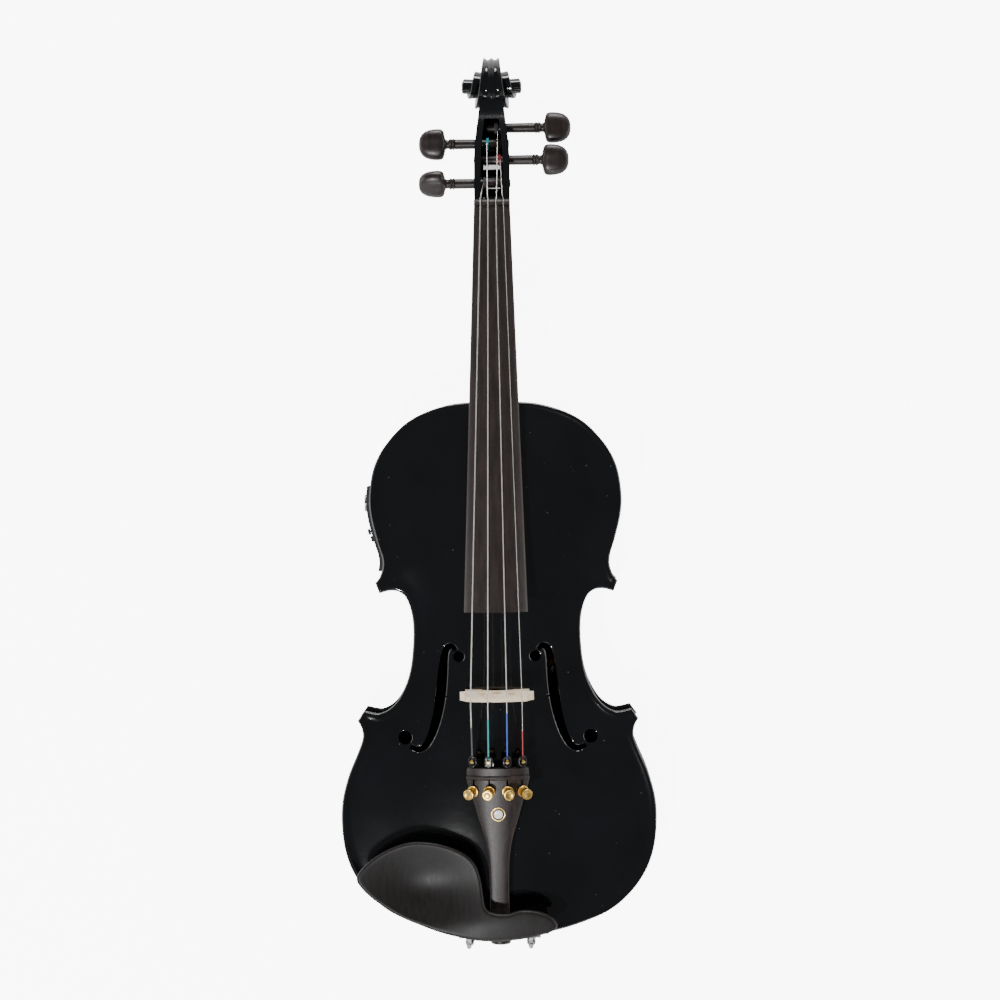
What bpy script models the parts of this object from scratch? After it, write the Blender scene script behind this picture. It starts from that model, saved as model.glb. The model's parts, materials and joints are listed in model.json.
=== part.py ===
"""Full-size electro-acoustic violin, lying on its back, scroll toward +Y, top plate facing +Z.

It is modelled in the frame of its ribs: x across with the treble side at +X, y from the tail end
toward the scroll, z from the joint of ribs and back plate upward. An empty then tips the whole
violin until the back plate and the scroll both touch the ground."""

import math

import bmesh
import bpy
import numpy as np
from mathutils import Matrix, Vector

mm = 0.001
pi = math.pi

# Clearances
gap = 0.3 * mm            # between pieces that touch
hidden_gap = 0.9 * mm     # under the arching, where inner pieces meet it
run_gap = 0.4 * mm        # between a moving piece and its seat

# Body
body_length = 356 * mm
body_width = 210 * mm     # across the lower bout
rib_height = 31 * mm
rib_thickness = 1.3 * mm
overhang = 3 * mm         # plate edge beyond the ribs
edge_thickness = 4 * mm
plate_thickness = 3 * mm  # in the middle of a plate
top_arch = 15.5 * mm      # top plate's crown above the ribs
back_arch = 15 * mm
button_radius = 10.8 * mm
block_depth = 16 * mm
f_height = 16 * mm        # how tall the cutters of the f-holes are

# Neck and strings
stop_length = 195 * mm    # bridge to the upper edge of the body
neck_length = 130 * mm    # upper edge of the body to the nut
neck_slope = 0.12         # fall of the fingerboard's plane toward the nut
overstand = 6.4 * mm      # neck's glue plane over the top plate's edge
board_length = 268 * mm
board_nut_width = 24 * mm
board_end_width = 42 * mm
board_radius = 42 * mm
board_edge = 5 * mm
nut_depth = 4.2 * mm
nut_rise = 0.9 * mm
heel_inset = 6 * mm
bridge_height = 33 * mm
bridge_width = 40 * mm    # along its curved top
bridge_foot_thickness = 4.4 * mm
string_radii = {"g": 0.4 * mm, "d": 0.37 * mm, "a": 0.31 * mm, "e": 0.22 * mm}
string_at_bridge = {"g": -17 * mm, "d": -5.7 * mm, "a": 6.6 * mm, "e": 16.6 * mm}
string_at_nut = {"g": -7.6 * mm, "d": -2.6 * mm, "a": 2.6 * mm, "e": 7.6 * mm}

# Pegbox and scroll, measured along the neck's glue plane from the nut, and square to it
peg_along = {"g": 16 * mm, "e": 32 * mm, "d": 43.5 * mm, "a": 54.5 * mm}
peg_down = {"g": 10.5 * mm, "e": 15.5 * mm, "d": 19 * mm, "a": 22.5 * mm}
peg_side = {"g": -1, "e": 1, "d": -1, "a": 1}
peg_radius = 3.4 * mm
peg_tip_radius = 2.8 * mm
pegbox_wall = 4.4 * mm
volute_along = 84 * mm
volute_down = 27 * mm
volute_radius = 20 * mm
volute_width = 41 * mm

# Tailpiece and fine tuners
tailpiece_length = 105 * mm
fret_to_bridge = 52 * mm
tailpiece_nose = 7 * mm   # tailpiece beyond its fret
tailpiece_over_saddle = 3.4 * mm  # its middle line, carried on to the saddle's crest
tailpiece_radius = 42 * mm
tailpiece_thickness = 4.5 * mm
afterlength_fall = 0.256  # slope of the strings behind the bridge
tuner_places = {"g": -16 * mm, "d": -5.7 * mm, "a": 6.2 * mm, "e": 16 * mm}
tuner_behind_fret = 8.8 * mm
screw_radius = 1.1 * mm
screw_down = 2.5 * mm     # travel of a tuning screw
screw_up = 1.3 * mm

# Tail end
saddle_width = 34 * mm
saddle_rise = 6.5 * mm
button_neck_radius = 3.5 * mm
cord_radius = 0.9 * mm
clamp_spread = 20.5 * mm
clamp_out = 4.2 * mm      # clamp posts beyond the plates' edge
chinrest_rise = 30 * mm   # its rim over the top plate's edge
chinrest_shell = 6 * mm
cup_depth = 11 * mm
chinrest_cork = 2 * mm    # room for the cork pads on the top plate
foot_cork = 1.5 * mm      # and on the clamp's foot

# Preamp on the left upper rib
panel_start = 243.4 / 356  # share of the body's length
panel_end = 300.4 / 356
panel_height = 22 * mm
panel_proud = 2.4 * mm    # beyond the plates' edge
box_depth = 15 * mm
box_start = 262 / 356     # the inner box starts past the corner block
box_margin = 4 * mm
slider_centre = 268 / 356
slider_travel = 16 * mm
slider_rests = {"volume_slider": 3.0 * mm, "tone_slider": -2.2 * mm}
slider_heights = {"volume_slider": 20.2 * mm, "tone_slider": 10.8 * mm}
jack_place = 289 / 356
jack_bore = 3.2 * mm

# Half outline of the plates in its own units, tail end to neck, for a body 356 long and 210 wide
drawn_length = 356 * mm
drawn_half_width = 105 * mm
lower_bout = [(0, 0), (18, 0.7), (36.3, 2.7), (54.7, 8), (73, 16), (86.7, 27.3), (96.6, 40.7),
              (102.4, 55), (105, 72), (104.6, 90), (100.3, 107.3), (93.4, 124), (90.4, 133),
              (91, 139.3), (93.7, 144.4)]
waist = [(88.9, 151), (83, 149.6), (78.2, 149.3), (71.8, 152.4), (66.1, 158.7), (60.2, 170.7),
         (57.1, 184), (55.7, 202.7), (56.8, 216), (60.2, 226), (65, 230.2), (71, 231), (78, 229.2)]
upper_bout = [(80.8, 236.3), (78, 239.6), (75.6, 247), (76.1, 254), (79.6, 265.5), (83.3, 280.7),
              (84, 294), (81.5, 310.7), (75.5, 324), (65.9, 336), (56.5, 344), (44.4, 350),
              (29.3, 354.4), (15, 355.8), (0, 356)]
arch_half_widths = [(0, 2), (10, 55), (30, 88), (80, 104.5), (120, 96), (150, 76), (175, 61),
                    (205, 55.5), (230, 60), (250, 70), (275, 80), (300, 84), (325, 76), (345, 50),
                    (356, 2)]

# F-hole on the treble side: centre line with half widths, then the two round ends
f_line = [(27.3, 191.6, 1.4), (30, 194.2, 1.8), (33.4, 192.6, 2.2), (35.2, 186.5, 2.6),
          (36.2, 177, 3.1), (37.2, 166, 3.3), (38.8, 154.5, 3.2), (41.2, 144, 2.9),
          (44.4, 134.6, 2.5), (48.6, 127.6, 2.1), (53.4, 125.4, 1.9), (58.2, 127.6, 1.5)]
f_rounds = [(25.3, 187.3, 3.7), (61.6, 133.2, 4.6)]

palette = {
    "black_lacquer": ((0.012, 0.013, 0.014), 0.12, 0.0),
    "spruce": ((0.62, 0.44, 0.25), 0.6, 0.0),
    "bridge_maple": ((0.80, 0.62, 0.40), 0.5, 0.0),
    "dark_wood": ((0.065, 0.047, 0.04), 0.4, 0.0),
    "peg_wood": ((0.045, 0.03, 0.026), 0.35, 0.0),
    "brass": ((0.80, 0.55, 0.20), 0.25, 1.0),
    "steel": ((0.62, 0.62, 0.64), 0.3, 1.0),
    "black_metal": ((0.02, 0.02, 0.02), 0.35, 1.0),
    "black_plastic": ((0.015, 0.015, 0.016), 0.4, 0.0),
    "wound_string": ((0.75, 0.74, 0.72), 0.3, 1.0),
}


# Scene and materials
def clear_scene():
    for found in list(bpy.data.objects):
        bpy.data.objects.remove(found, do_unlink=True)


def new_collection(name):
    made = bpy.data.collections.new(name)
    bpy.context.scene.collection.children.link(made)
    return made


def material(name):
    found = bpy.data.materials.get(name)
    if found:
        return found
    colour, roughness, metallic = palette[name]
    made = bpy.data.materials.new(name)
    made.use_nodes = True
    shader = made.node_tree.nodes["Principled BSDF"]
    shader.inputs["Base Color"].default_value = (*colour, 1)
    shader.inputs["Roughness"].default_value = roughness
    shader.inputs["Metallic"].default_value = metallic
    return made


def new_object(name, data, finish):
    """Finish names the material of a part; a cutter has none."""
    made = bpy.data.objects.new(name, data)
    made.parent = violin_frame
    if finish:
        parts.objects.link(made)
        data.materials.append(material(finish))
    else:
        cutters.objects.link(made)
        made.hide_render = True
        made.display_type = "WIRE"
    return made


def from_bmesh(name, shape, finish, smooth=False):
    bmesh.ops.recalc_face_normals(shape, faces=shape.faces)
    data = bpy.data.meshes.new(name)
    shape.to_mesh(data)
    shape.free()
    if smooth:
        data.shade_smooth()
        data.set_sharp_from_angle(angle=math.radians(40))
    return new_object(name, data, finish)


# Shapes
def box(name, low, high, finish=None):
    shape = bmesh.new()
    bmesh.ops.create_cube(shape, size=1)
    size = [h - l for l, h in zip(low, high)]
    middle = [(h + l) / 2 for l, h in zip(low, high)]
    bmesh.ops.scale(shape, vec=size, verts=shape.verts)
    bmesh.ops.translate(shape, vec=middle, verts=shape.verts)
    return from_bmesh(name, shape, finish)


def rod(name, start, end, radius, finish=None, sides=16):
    """A cylinder from one point to another."""
    start = Vector(start)
    run = Vector(end) - start
    shape = bmesh.new()
    bmesh.ops.create_cone(
        shape, cap_ends=True, segments=sides, radius1=radius, radius2=radius, depth=run.length
    )
    turn = run.to_track_quat("Z", "Y").to_matrix().to_4x4()
    place = Matrix.Translation(start + run / 2) @ turn
    bmesh.ops.transform(shape, matrix=place, verts=shape.verts)
    return from_bmesh(name, shape, finish, smooth=True)


def prism(name, outline, low, high, finish=None, holes=()):
    """A flat outline drawn in x and y, filled from low to high, as a mesh."""
    data = bpy.data.curves.new(name, "CURVE")
    data.dimensions = "2D"
    data.fill_mode = "BOTH"
    data.extrude = (high - low) / 2
    for ring in (outline, *holes):
        spline = data.splines.new("POLY")
        spline.points.add(len(ring) - 1)
        spline.use_cyclic_u = True
        for point, (x, y) in zip(spline.points, ring):
            point.co = (x, y, 0, 1)
    drawn = bpy.data.objects.new(name + "_outline", data)
    cutters.objects.link(drawn)
    bpy.context.view_layer.update()
    graph = bpy.context.evaluated_depsgraph_get()
    flat = bpy.data.meshes.new_from_object(drawn.evaluated_get(graph))
    shape = bmesh.new()
    shape.from_mesh(flat)
    bmesh.ops.remove_doubles(shape, verts=shape.verts, dist=0.00001)
    bmesh.ops.translate(shape, vec=(0, 0, (low + high) / 2), verts=shape.verts)
    bpy.data.objects.remove(drawn, do_unlink=True)
    return from_bmesh(name, shape, finish)


def turned(name, profile, finish=None, steps=20, closed=False):
    """A profile of (radius, height), top to bottom, turned about the object's own Z axis."""
    data = bpy.data.meshes.new(name)
    points = [(radius, 0, height) for radius, height in profile]
    edges = [(k, k + 1) for k in range(len(points) - 1)]
    if closed:
        edges.append((len(points) - 1, 0))
    data.from_pydata(points, edges, [])
    made = new_object(name, data, finish)
    screw = made.modifiers.new("turn", "SCREW")
    screw.axis = "Z"
    screw.steps = steps
    screw.render_steps = steps
    screw.use_merge_vertices = True
    screw.merge_threshold = 0.00001
    return made


def loft(name, rings, finish=None, smooth=True):
    """A closed body through rings that all have the same number of points."""
    shape = bmesh.new()
    rows = [[shape.verts.new(point) for point in ring] for ring in rings]
    count = len(rows[0])
    for near, far in zip(rows, rows[1:]):
        for k in range(count):
            after = (k + 1) % count
            shape.faces.new((near[k], near[after], far[after], far[k]))
    shape.faces.new(rows[0])
    shape.faces.new(rows[-1])
    return from_bmesh(name, shape, finish, smooth=smooth)


def wire(name, points, radius, finish):
    """A round wire through its points."""
    data = bpy.data.curves.new(name, "CURVE")
    data.dimensions = "3D"
    data.bevel_depth = radius
    data.bevel_resolution = 2
    data.use_fill_caps = True
    spline = data.splines.new("POLY")
    spline.points.add(len(points) - 1)
    for point, place in zip(spline.points, points):
        point.co = (*place, 1)
    return new_object(name, data, finish)


def boolean(target, operation, others):
    for other in others:
        step = target.modifiers.new(operation.lower(), "BOOLEAN")
        step.operation = operation
        step.object = other


# Curves
def smooth_line(points, spacing, before=None, after=None):
    """Points at an even spacing on a smooth curve through the given ones."""
    first = before or points[0]
    last = after or points[-1]
    knots = np.array([first, *points, last], float)
    found = []
    for a, b, c, d in zip(knots, knots[1:], knots[2:], knots[3:]):
        for t in np.linspace(0, 1, 12, endpoint=False):
            found.append(
                0.5 * (2 * b + (c - a) * t + (2 * a - 5 * b + 4 * c - d) * t ** 2
                       + (3 * b - a - 3 * c + d) * t ** 3)
            )
    found.append(knots[-2])
    found = np.array(found)
    steps = np.r_[0, np.cumsum(np.linalg.norm(np.diff(found, axis=0), axis=1))]
    count = max(2, round(steps[-1] / spacing))
    even = np.linspace(0, steps[-1], count + 1)
    return np.column_stack([np.interp(even, steps, found[:, k]) for k in range(found.shape[1])])


def inset(line, distance):
    """The line moved to its left side by a distance."""
    along = np.gradient(line, axis=0)
    along /= np.linalg.norm(along, axis=1)[:, None]
    return line + distance * np.column_stack([-along[:, 1], along[:, 0]])


def mirrored(line, side):
    return [(side * x, y) for x, y in line]


def drawn(points):
    """Drawn millimetres brought to the body's own length and width."""
    wide = body_width / 2 / drawn_half_width
    tall = body_length / drawn_length
    return [(p[0] * mm * wide, p[1] * mm * tall, *[v * mm for v in p[2:]]) for p in points]


def section_lines():
    """Right half of the plates' edge as three smooth lines between the corners."""
    lower = drawn(lower_bout)
    upper = drawn(upper_bout)
    low_before = (-lower[1][0], lower[1][1])
    up_after = (-upper[-2][0], upper[-2][1])
    return (
        smooth_line(lower, 9 * mm, before=low_before),
        smooth_line(drawn(waist), 6.5 * mm),
        smooth_line(upper, 8.5 * mm, after=up_after),
    )


def plate_outline(with_button):
    lower, middle, upper = section_lines()
    half = [tuple(p) for p in (*lower, *middle, *upper)]
    if with_button:
        half = [p for p in half if p[1] < body_length * 0.9 or p[0] > button_radius * 1.15]
        for turn in np.linspace(0, pi / 2, 6):
            x = button_radius * math.cos(turn)
            half.append((x, body_length + button_radius * math.sin(turn)))
    return half + [(-x, y) for x, y in half[-2:0:-1]]


# Arching
def arch(x, y):
    """From 0 at the edge to 1 at the crown: a cosine across and a flat-topped rise along."""
    wide = body_width / 2 / drawn_half_width
    tall = body_length / drawn_length
    knots = np.array(arch_half_widths) * mm
    half = np.interp(y, knots[:, 0] * tall, knots[:, 1] * wide)
    across = np.clip(np.abs(x) / half, 0, 1)
    share = np.clip(y / body_length, 0, 1)
    along = 1 - np.abs(2 * share - 1) ** 3.0
    return (0.5 + 0.5 * np.cos(pi * across)) * along


def plate_outer(x, y, rise):
    return edge_thickness + arch(x, y) * (rise - edge_thickness)


def plate_inner(x, y, rise):
    seat = 1 * mm
    return np.maximum(0, arch(x, y) * (rise - plate_thickness + seat) - seat)


def top_outer(x, y):
    return float(rib_height + plate_outer(x, y, top_arch))


def top_inner(x, y):
    return float(rib_height + plate_inner(x, y, top_arch))


def back_inner(x, y):
    return float(-plate_inner(x, y, back_arch))


def arched_slab(name, rise, low, side, finish):
    """A slab over the whole body whose two faces follow the arching; side is +1 upward."""
    margin = 8 * mm
    columns, rows = 16, 26
    wide = body_width + 2 * margin
    tall = body_length + button_radius + 2 * margin
    shape = bmesh.new()
    bmesh.ops.create_grid(shape, x_segments=columns, y_segments=rows, size=0.5)
    bmesh.ops.scale(shape, vec=(wide, tall, 1), verts=shape.verts)
    bmesh.ops.translate(shape, vec=(0, tall / 2 - margin, 0), verts=shape.verts)
    lower_verts = list(shape.verts)
    grown = bmesh.ops.extrude_face_region(shape, geom=shape.faces[:], use_keep_orig=True)
    upper_verts = [v for v in grown["geom"] if isinstance(v, bmesh.types.BMVert)]
    for vert in lower_verts:
        vert.co.z = low + side * float(plate_inner(vert.co.x, vert.co.y, rise))
    for vert in upper_verts:
        vert.co.z = low + side * float(plate_outer(vert.co.x, vert.co.y, rise))
    bmesh.ops.triangulate(shape, faces=shape.faces[:])
    return from_bmesh(name, shape, finish, smooth=True)


# Neck planes
def glue_plane(y):
    """Height of the neck's flat upper face."""
    return rib_height + edge_thickness + overstand - neck_slope * (y - body_length)


def sagitta(half_width, radius):
    return radius - math.sqrt(max(0.0, radius ** 2 - half_width ** 2))


def board_half_width(y):
    nut = body_length + neck_length
    share = (nut - y) / board_length
    return (board_nut_width + (board_end_width - board_nut_width) * share) / 2


def board_top(x, y):
    half = board_half_width(y)
    crown = glue_plane(y) + board_edge + sagitta(half, board_radius)
    return crown - sagitta(abs(x), board_radius)


def head_point(along, down):
    """World y and z of a point on the head, along the glue plane from the nut and below it."""
    y = body_length + neck_length + along
    return y, glue_plane(y) - down


# Body
def make_plates():
    edge = prism("edge_outline", plate_outline(False), rib_height - 20 * mm, rib_height + 60 * mm)
    back_edge = prism("back_outline", plate_outline(True), -60 * mm, 20 * mm)
    top = arched_slab("top_plate", top_arch, rib_height, 1, "black_lacquer")
    back = arched_slab("back_plate", back_arch, 0, -1, "black_lacquer")
    boolean(top, "INTERSECT", [edge])
    boolean(back, "INTERSECT", [back_edge])
    boolean(top, "DIFFERENCE", [saddle_notch(), heel_notch(), *f_cutters()])


def f_cutters():
    low = rib_height + 1 * mm
    made = []
    line = smooth_line(drawn(f_line), 5 * mm)
    along = np.gradient(line[:, :2], axis=0)
    along /= np.linalg.norm(along, axis=1)[:, None]
    beside = np.column_stack([-along[:, 1], along[:, 0]]) * line[:, 2:3]
    outline = [*(line[:, :2] + beside), *(line[:, :2] - beside)[::-1]]
    for side, word in ((-1, "left"), (1, "right")):
        stem = mirrored(outline, side)
        made.append(prism(f"f_stem_{word}", stem, low - f_height, low + f_height))
        for k, (x, y, radius) in enumerate(drawn(f_rounds)):
            start = (side * x, y, low - f_height)
            end = (side * x, y, low + f_height)
            made.append(rod(f"f_round_{word}_{k}", start, end, radius))
    return made


def saddle_notch():
    half = saddle_width / 2 + gap
    low = (-half, -10 * mm, rib_height - 10 * mm)
    return box("saddle_notch", low, (half, saddle_depth() + gap, rib_height + 30 * mm))


def saddle_depth():
    return 7 * mm


def heel_notch():
    half = board_half_width(body_length) + gap
    low = (-half, body_length - heel_inset - gap, rib_height - 10 * mm)
    return box("heel_notch", low, (half, body_length + 30 * mm, rib_height + 40 * mm))


def strip(line, outer, inner):
    """Closed outline between two insets of a line."""
    return [*inset(line, outer), *inset(line, inner)[::-1]]


def rib_lines():
    """The three lines of the right half, cut back where ribs would meet at corners and ends."""
    lower, middle, upper = section_lines()
    room = 2 * rib_thickness + gap
    heel = board_half_width(body_length) + gap
    lines = []
    for line, others in ((lower, (middle,)), (middle, (lower, upper)), (upper, (middle,))):
        face = inset(line, overhang)
        other = np.vstack([inset(o, overhang) for o in others])
        near = np.linalg.norm(face[:, None] - other[None], axis=2).min(axis=1)
        keep = near > room
        if line is upper:
            keep &= line[:, 0] > heel
        lines.append(line[keep])
    lines[0][0] = (gap, lines[0][0][1])
    return lines


def make_ribs():
    low, high = gap, rib_height - gap
    names = ("lower", "waist", "upper")
    for name, line in zip(names, rib_lines()):
        outline = strip(line, overhang, overhang + rib_thickness)
        for side, word in ((-1, "left"), (1, "right")):
            flat = mirrored(outline, side)
            rib = prism(f"rib_{name}_{word}", flat, low, high, "black_lacquer")
            if name == "lower":
                start = (0, -10 * mm, tail_height())
                bore = rod(f"pin_bore_{word}", start, (0, 20 * mm, tail_height()), pin_radius() + gap)
                boolean(rib, "DIFFERENCE", [bore])
            if name == "upper" and side < 0:
                boolean(rib, "DIFFERENCE", [preamp_window()])


def tail_height():
    return rib_height / 2


def pin_radius():
    return 3.8 * mm


def make_blocks():
    low, high = gap, rib_height - gap
    inner = overhang + rib_thickness + gap
    half = 24 * mm
    lower, middle, upper = rib_lines()
    face = inset(lower, inner)
    start = float(np.interp(half, face[:, 0], face[:, 1]))
    tail = box("tail_block", (-half, start, low), (half, start + block_depth, high), "spruce")
    bore = rod("block_bore", (0, -5 * mm, tail_height()), (0, 40 * mm, tail_height()), pin_radius() + gap)
    boolean(tail, "DIFFERENCE", [bore])
    end = body_length - heel_inset - gap
    face = inset(upper, inner)[::-1]
    end = min(end, float(np.interp(half, face[:, 0], face[:, 1])))
    box("neck_block", (-half, end - block_depth, low), (half, end, high), "spruce")
    count = 3
    lower_face = inset(lower, inner)[-count:]
    waist_face = inset(middle, inner)
    upper_face = inset(upper, inner)[:count]
    corners = {
        "lower": [*lower_face, *waist_face[:count]],
        "upper": [*waist_face[-count:], *upper_face],
    }
    for name, outline in corners.items():
        for side, word in ((-1, "left"), (1, "right")):
            flat = mirrored(outline, side)
            prism(f"corner_block_{name}_{word}", flat, low, high, "spruce")


def make_inner_pieces():
    """Bass bar under the top plate, sound post behind the treble foot, pickup disc."""
    bridge_y = body_length - stop_length
    bar_x = -17 * mm
    half = 2.7 * mm
    rings = []
    for share in np.linspace(0, 1, 12):
        y = body_length * (0.2 + 0.6 * share)
        depth = (4 + 7 * math.sin(pi * share)) * mm
        high = min(top_inner(bar_x - half, y), top_inner(bar_x + half, y)) - hidden_gap
        low = high - depth
        rings.append([(bar_x - half, y, low), (bar_x + half, y, low),
                      (bar_x + half, y, high), (bar_x - half, y, high)])
    loft("bass_bar", rings, "spruce", smooth=False)
    post_x, post_y = 19 * mm, bridge_y - 5 * mm
    post_radius = 3.2 * mm
    reach = post_x + post_radius
    low = back_inner(reach, post_y) + hidden_gap
    high = top_inner(reach, post_y) - hidden_gap
    rod("sound_post", (post_x, post_y, low), (post_x, post_y, high), post_radius, "spruce")
    disc_y = bridge_y + 12 * mm
    disc_radius = 9 * mm
    high = top_inner(disc_radius, disc_y + disc_radius) - hidden_gap
    low = high - 1.4 * mm
    rod("pickup", (0, disc_y, low), (0, disc_y, high), disc_radius, "brass", sides=24)


# Neck and head
def d_ring(y, half_width, low_half_width, top, bottom, roundness):
    """Flat on top, round below; low_half_width is how wide it still is near the bottom."""
    ring = []
    count = 12
    for k in range(count + 1):
        turn = pi * k / count
        across = math.copysign(abs(math.cos(turn)) ** (2 / roundness), math.cos(turn))
        down = math.sin(turn) ** (2 / roundness)
        half = half_width + (low_half_width - half_width) * down
        ring.append((half * across, y, top - (top - bottom) * down))
    return ring


def make_neck():
    heel_low = button_radius
    heel = [(-heel_inset, gap), (4 * mm, gap), (8 * mm, 1.2 * mm), (11.5 * mm, 7 * mm),
            (14.5 * mm, 14 * mm), (18.5 * mm, 20 * mm), (25 * mm, 24.6 * mm), (34 * mm, 27 * mm)]
    rings = []
    for ahead, bottom in heel:
        y = body_length + ahead
        half = board_half_width(y)
        narrow = heel_low if ahead < 12 * mm else half
        rings.append(d_ring(y, half, narrow, glue_plane(y), bottom, 3))
    for share in np.linspace(0.15, 1, 5):
        y = body_length + 34 * mm + (neck_length - 44 * mm) * share
        half = board_half_width(y)
        depth = (12.6 - 2.4 * share) * mm
        rings.append(d_ring(y, half, half, glue_plane(y), glue_plane(y) - depth, 2.2))
    pegbox = [(2, 0, 14, 11.8), (11, 0.8, 18.5, 11.9), (22, 2.6, 24, 11.9), (34, 5, 30.5, 11.8),
              (46, 8, 36.5, 11), (57, 11, 41, 9.6), (66, 14, 44.5, 8.6), (74, 18, 46.5, 7.5)]
    for along, down, deep, half in pegbox:
        y, top = head_point(along * mm, down * mm)
        bottom = head_point(along * mm, deep * mm)[1]
        rings.append(d_ring(y, half * mm, half * mm, top, bottom, 4))
    neck = loft("neck", rings, "black_lacquer")
    boolean(neck, "UNION", [volute()])
    boolean(neck, "DIFFERENCE", [peg_cavity(), *peg_bores()])


def volute():
    """The scroll: turns that step inward and outward along the x axis, eyes at both ends."""
    half = volute_width / 2
    outer = volute_radius
    right = [(0, half), (0.22 * outer, half), (0.26 * outer, 0.78 * half), (0.5 * outer, 0.72 * half),
             (0.54 * outer, 0.52 * half), (0.76 * outer, 0.47 * half), (0.8 * outer, 0.33 * half),
             (outer, 0.28 * half)]
    profile = right + [(r, -h) for r, h in reversed(right)]
    made = turned("volute", profile, steps=24)
    y, z = head_point(volute_along, volute_down)
    made.matrix_local = Matrix.Translation((0, y, z)) @ Matrix.Rotation(pi / 2, 4, "Y")
    return made


def peg_cavity():
    rings = []
    for along, wall, floor in ((5, 11.7, 12), (20, 11.8, 19), (34, 11.6, 25.5), (48, 10.6, 32),
                               (62, 9, 36)):
        half = wall * mm - pegbox_wall
        y, low = head_point(along * mm, floor * mm)
        high = low + 60 * mm
        rings.append([(-half, y, low), (half, y, low), (half, y, high), (-half, y, high)])
    return loft("peg_cavity", rings, smooth=False)


def peg_bores():
    made = []
    reach = 20 * mm
    for string in peg_along:
        y, z = head_point(peg_along[string], peg_down[string])
        made.append(rod(f"peg_bore_{string}", (-reach, y, z), (reach, y, z), peg_radius + gap))
    return made


def make_pegs():
    """Tapered shaft, turned collar, thumb piece: rings along the peg, widest flat side up."""
    cheek = 11.9 * mm
    tip = -(cheek + 1.2 * mm)
    stations = [
        (tip, peg_tip_radius, peg_tip_radius), (cheek + 2.0 * mm, peg_radius, peg_radius),
        (cheek + 13 * mm, peg_radius + 0.1 * mm, peg_radius + 0.1 * mm),
        (cheek + 13.4 * mm, 3.9 * mm, 3.9 * mm), (cheek + 16.4 * mm, 3.9 * mm, 3.9 * mm),
        (cheek + 16.9 * mm, 3.2 * mm, 3.2 * mm), (cheek + 19 * mm, 3.2 * mm, 3 * mm),
        (cheek + 19.9 * mm, 7.6 * mm, 4.6 * mm), (cheek + 20.8 * mm, 9.6 * mm, 5.3 * mm),
        (cheek + 23.4 * mm, 10.5 * mm, 5.6 * mm), (cheek + 28.5 * mm, 10.3 * mm, 5.3 * mm),
        (cheek + 32.5 * mm, 9.2 * mm, 4.7 * mm), (cheek + 35.6 * mm, 6.6 * mm, 3.7 * mm),
        (cheek + 37.2 * mm, 2 * mm, 1.6 * mm),
    ]
    longer = {"g": 0, "d": 0.1 * mm, "a": 4.1 * mm, "e": 2.5 * mm}
    turns = {"g": 45, "d": 5, "a": -6, "e": 8}
    for string, side in peg_side.items():
        rings = []
        for x, broad, thick in stations:
            if x > cheek + 10 * mm:
                x += longer[string]
            rings.append([(side * x, broad * math.cos(t), thick * math.sin(t))
                          for t in np.linspace(0, 2 * pi, 14, endpoint=False)])
        peg = loft(f"peg_{string}", rings, "peg_wood")
        y, z = head_point(peg_along[string], peg_down[string])
        turn = Matrix.Rotation(math.radians(turns[string]), 4, "X")
        peg.matrix_local = Matrix.Translation((0, y, z)) @ turn


def make_fingerboard():
    nut = body_length + neck_length
    rings = []
    for share in np.linspace(0, 1, 7):
        y = nut - gap - (board_length - gap) * share
        half = board_half_width(y)
        low = glue_plane(y) + gap
        ring = [(x, y, board_top(x, y)) for x in np.linspace(-half, half, 9)]
        rings.append([*ring, (half, y, low), (-half, y, low)])
    loft("fingerboard", rings, "dark_wood")


def make_nut():
    start = body_length + neck_length
    half = board_nut_width / 2
    rings = []
    for ahead, lower in ((0, 0), (nut_depth * 0.6, 0.3 * mm), (nut_depth, 1.6 * mm)):
        y = start + ahead
        low = glue_plane(y) + gap
        ring = [(x, y, board_top(x, start) + nut_rise - lower) for x in np.linspace(-half, half, 9)]
        rings.append([*ring, (half, y, low), (-half, y, low)])
    loft("nut", rings, "dark_wood")


# Bridge and strings
def bridge_crown():
    return top_outer(0, body_length - stop_length) + bridge_height


def bridge_top(x):
    return bridge_crown() - sagitta(abs(x), board_radius)


def make_bridge():
    y = body_length - stop_length
    base = top_outer(0, y) + gap
    half = bridge_width / 2
    top = [(x, bridge_top(x) - base) for x in np.linspace(0, half, 7)]
    side = [(19.4, 26), (16.2, 24), (15.2, 21.8), (16.6, 19.8), (20.8, 18.6), (23.2, 16), (22.8, 12.6),
            (19.8, 11), (15.8, 10.4), (14.8, 8.4), (16.6, 5.4), (21, 3.4)]
    shape = [*top, *[(x * mm, h * mm) for x, h in side]]
    for x in (21 * mm, 16 * mm, 10.5 * mm):
        shape.append((x, top_outer(x, y) + gap - base))
    shape += [(8.6 * mm, 3 * mm), (5 * mm, 6.4 * mm), (0, 7.4 * mm)]
    outline = [*shape, *mirrored(shape[-2:0:-1], -1)]
    holes = []
    for x, h, radius in ((0, 19.2, 3.2), (9.8, 22.4, 2.5), (-9.8, 22.4, 2.5)):
        holes.append([((x + radius * math.cos(t)) * mm, (h + radius * math.sin(t)) * mm)
                      for t in np.linspace(0, 2 * pi, 12, endpoint=False)])
    half_depth = bridge_foot_thickness / 2
    bridge = prism("bridge", outline, -half_depth, half_depth, "bridge_maple", holes)
    bridge.matrix_local = Matrix.Translation((0, y, base)) @ Matrix.Rotation(pi / 2, 4, "X")


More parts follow.
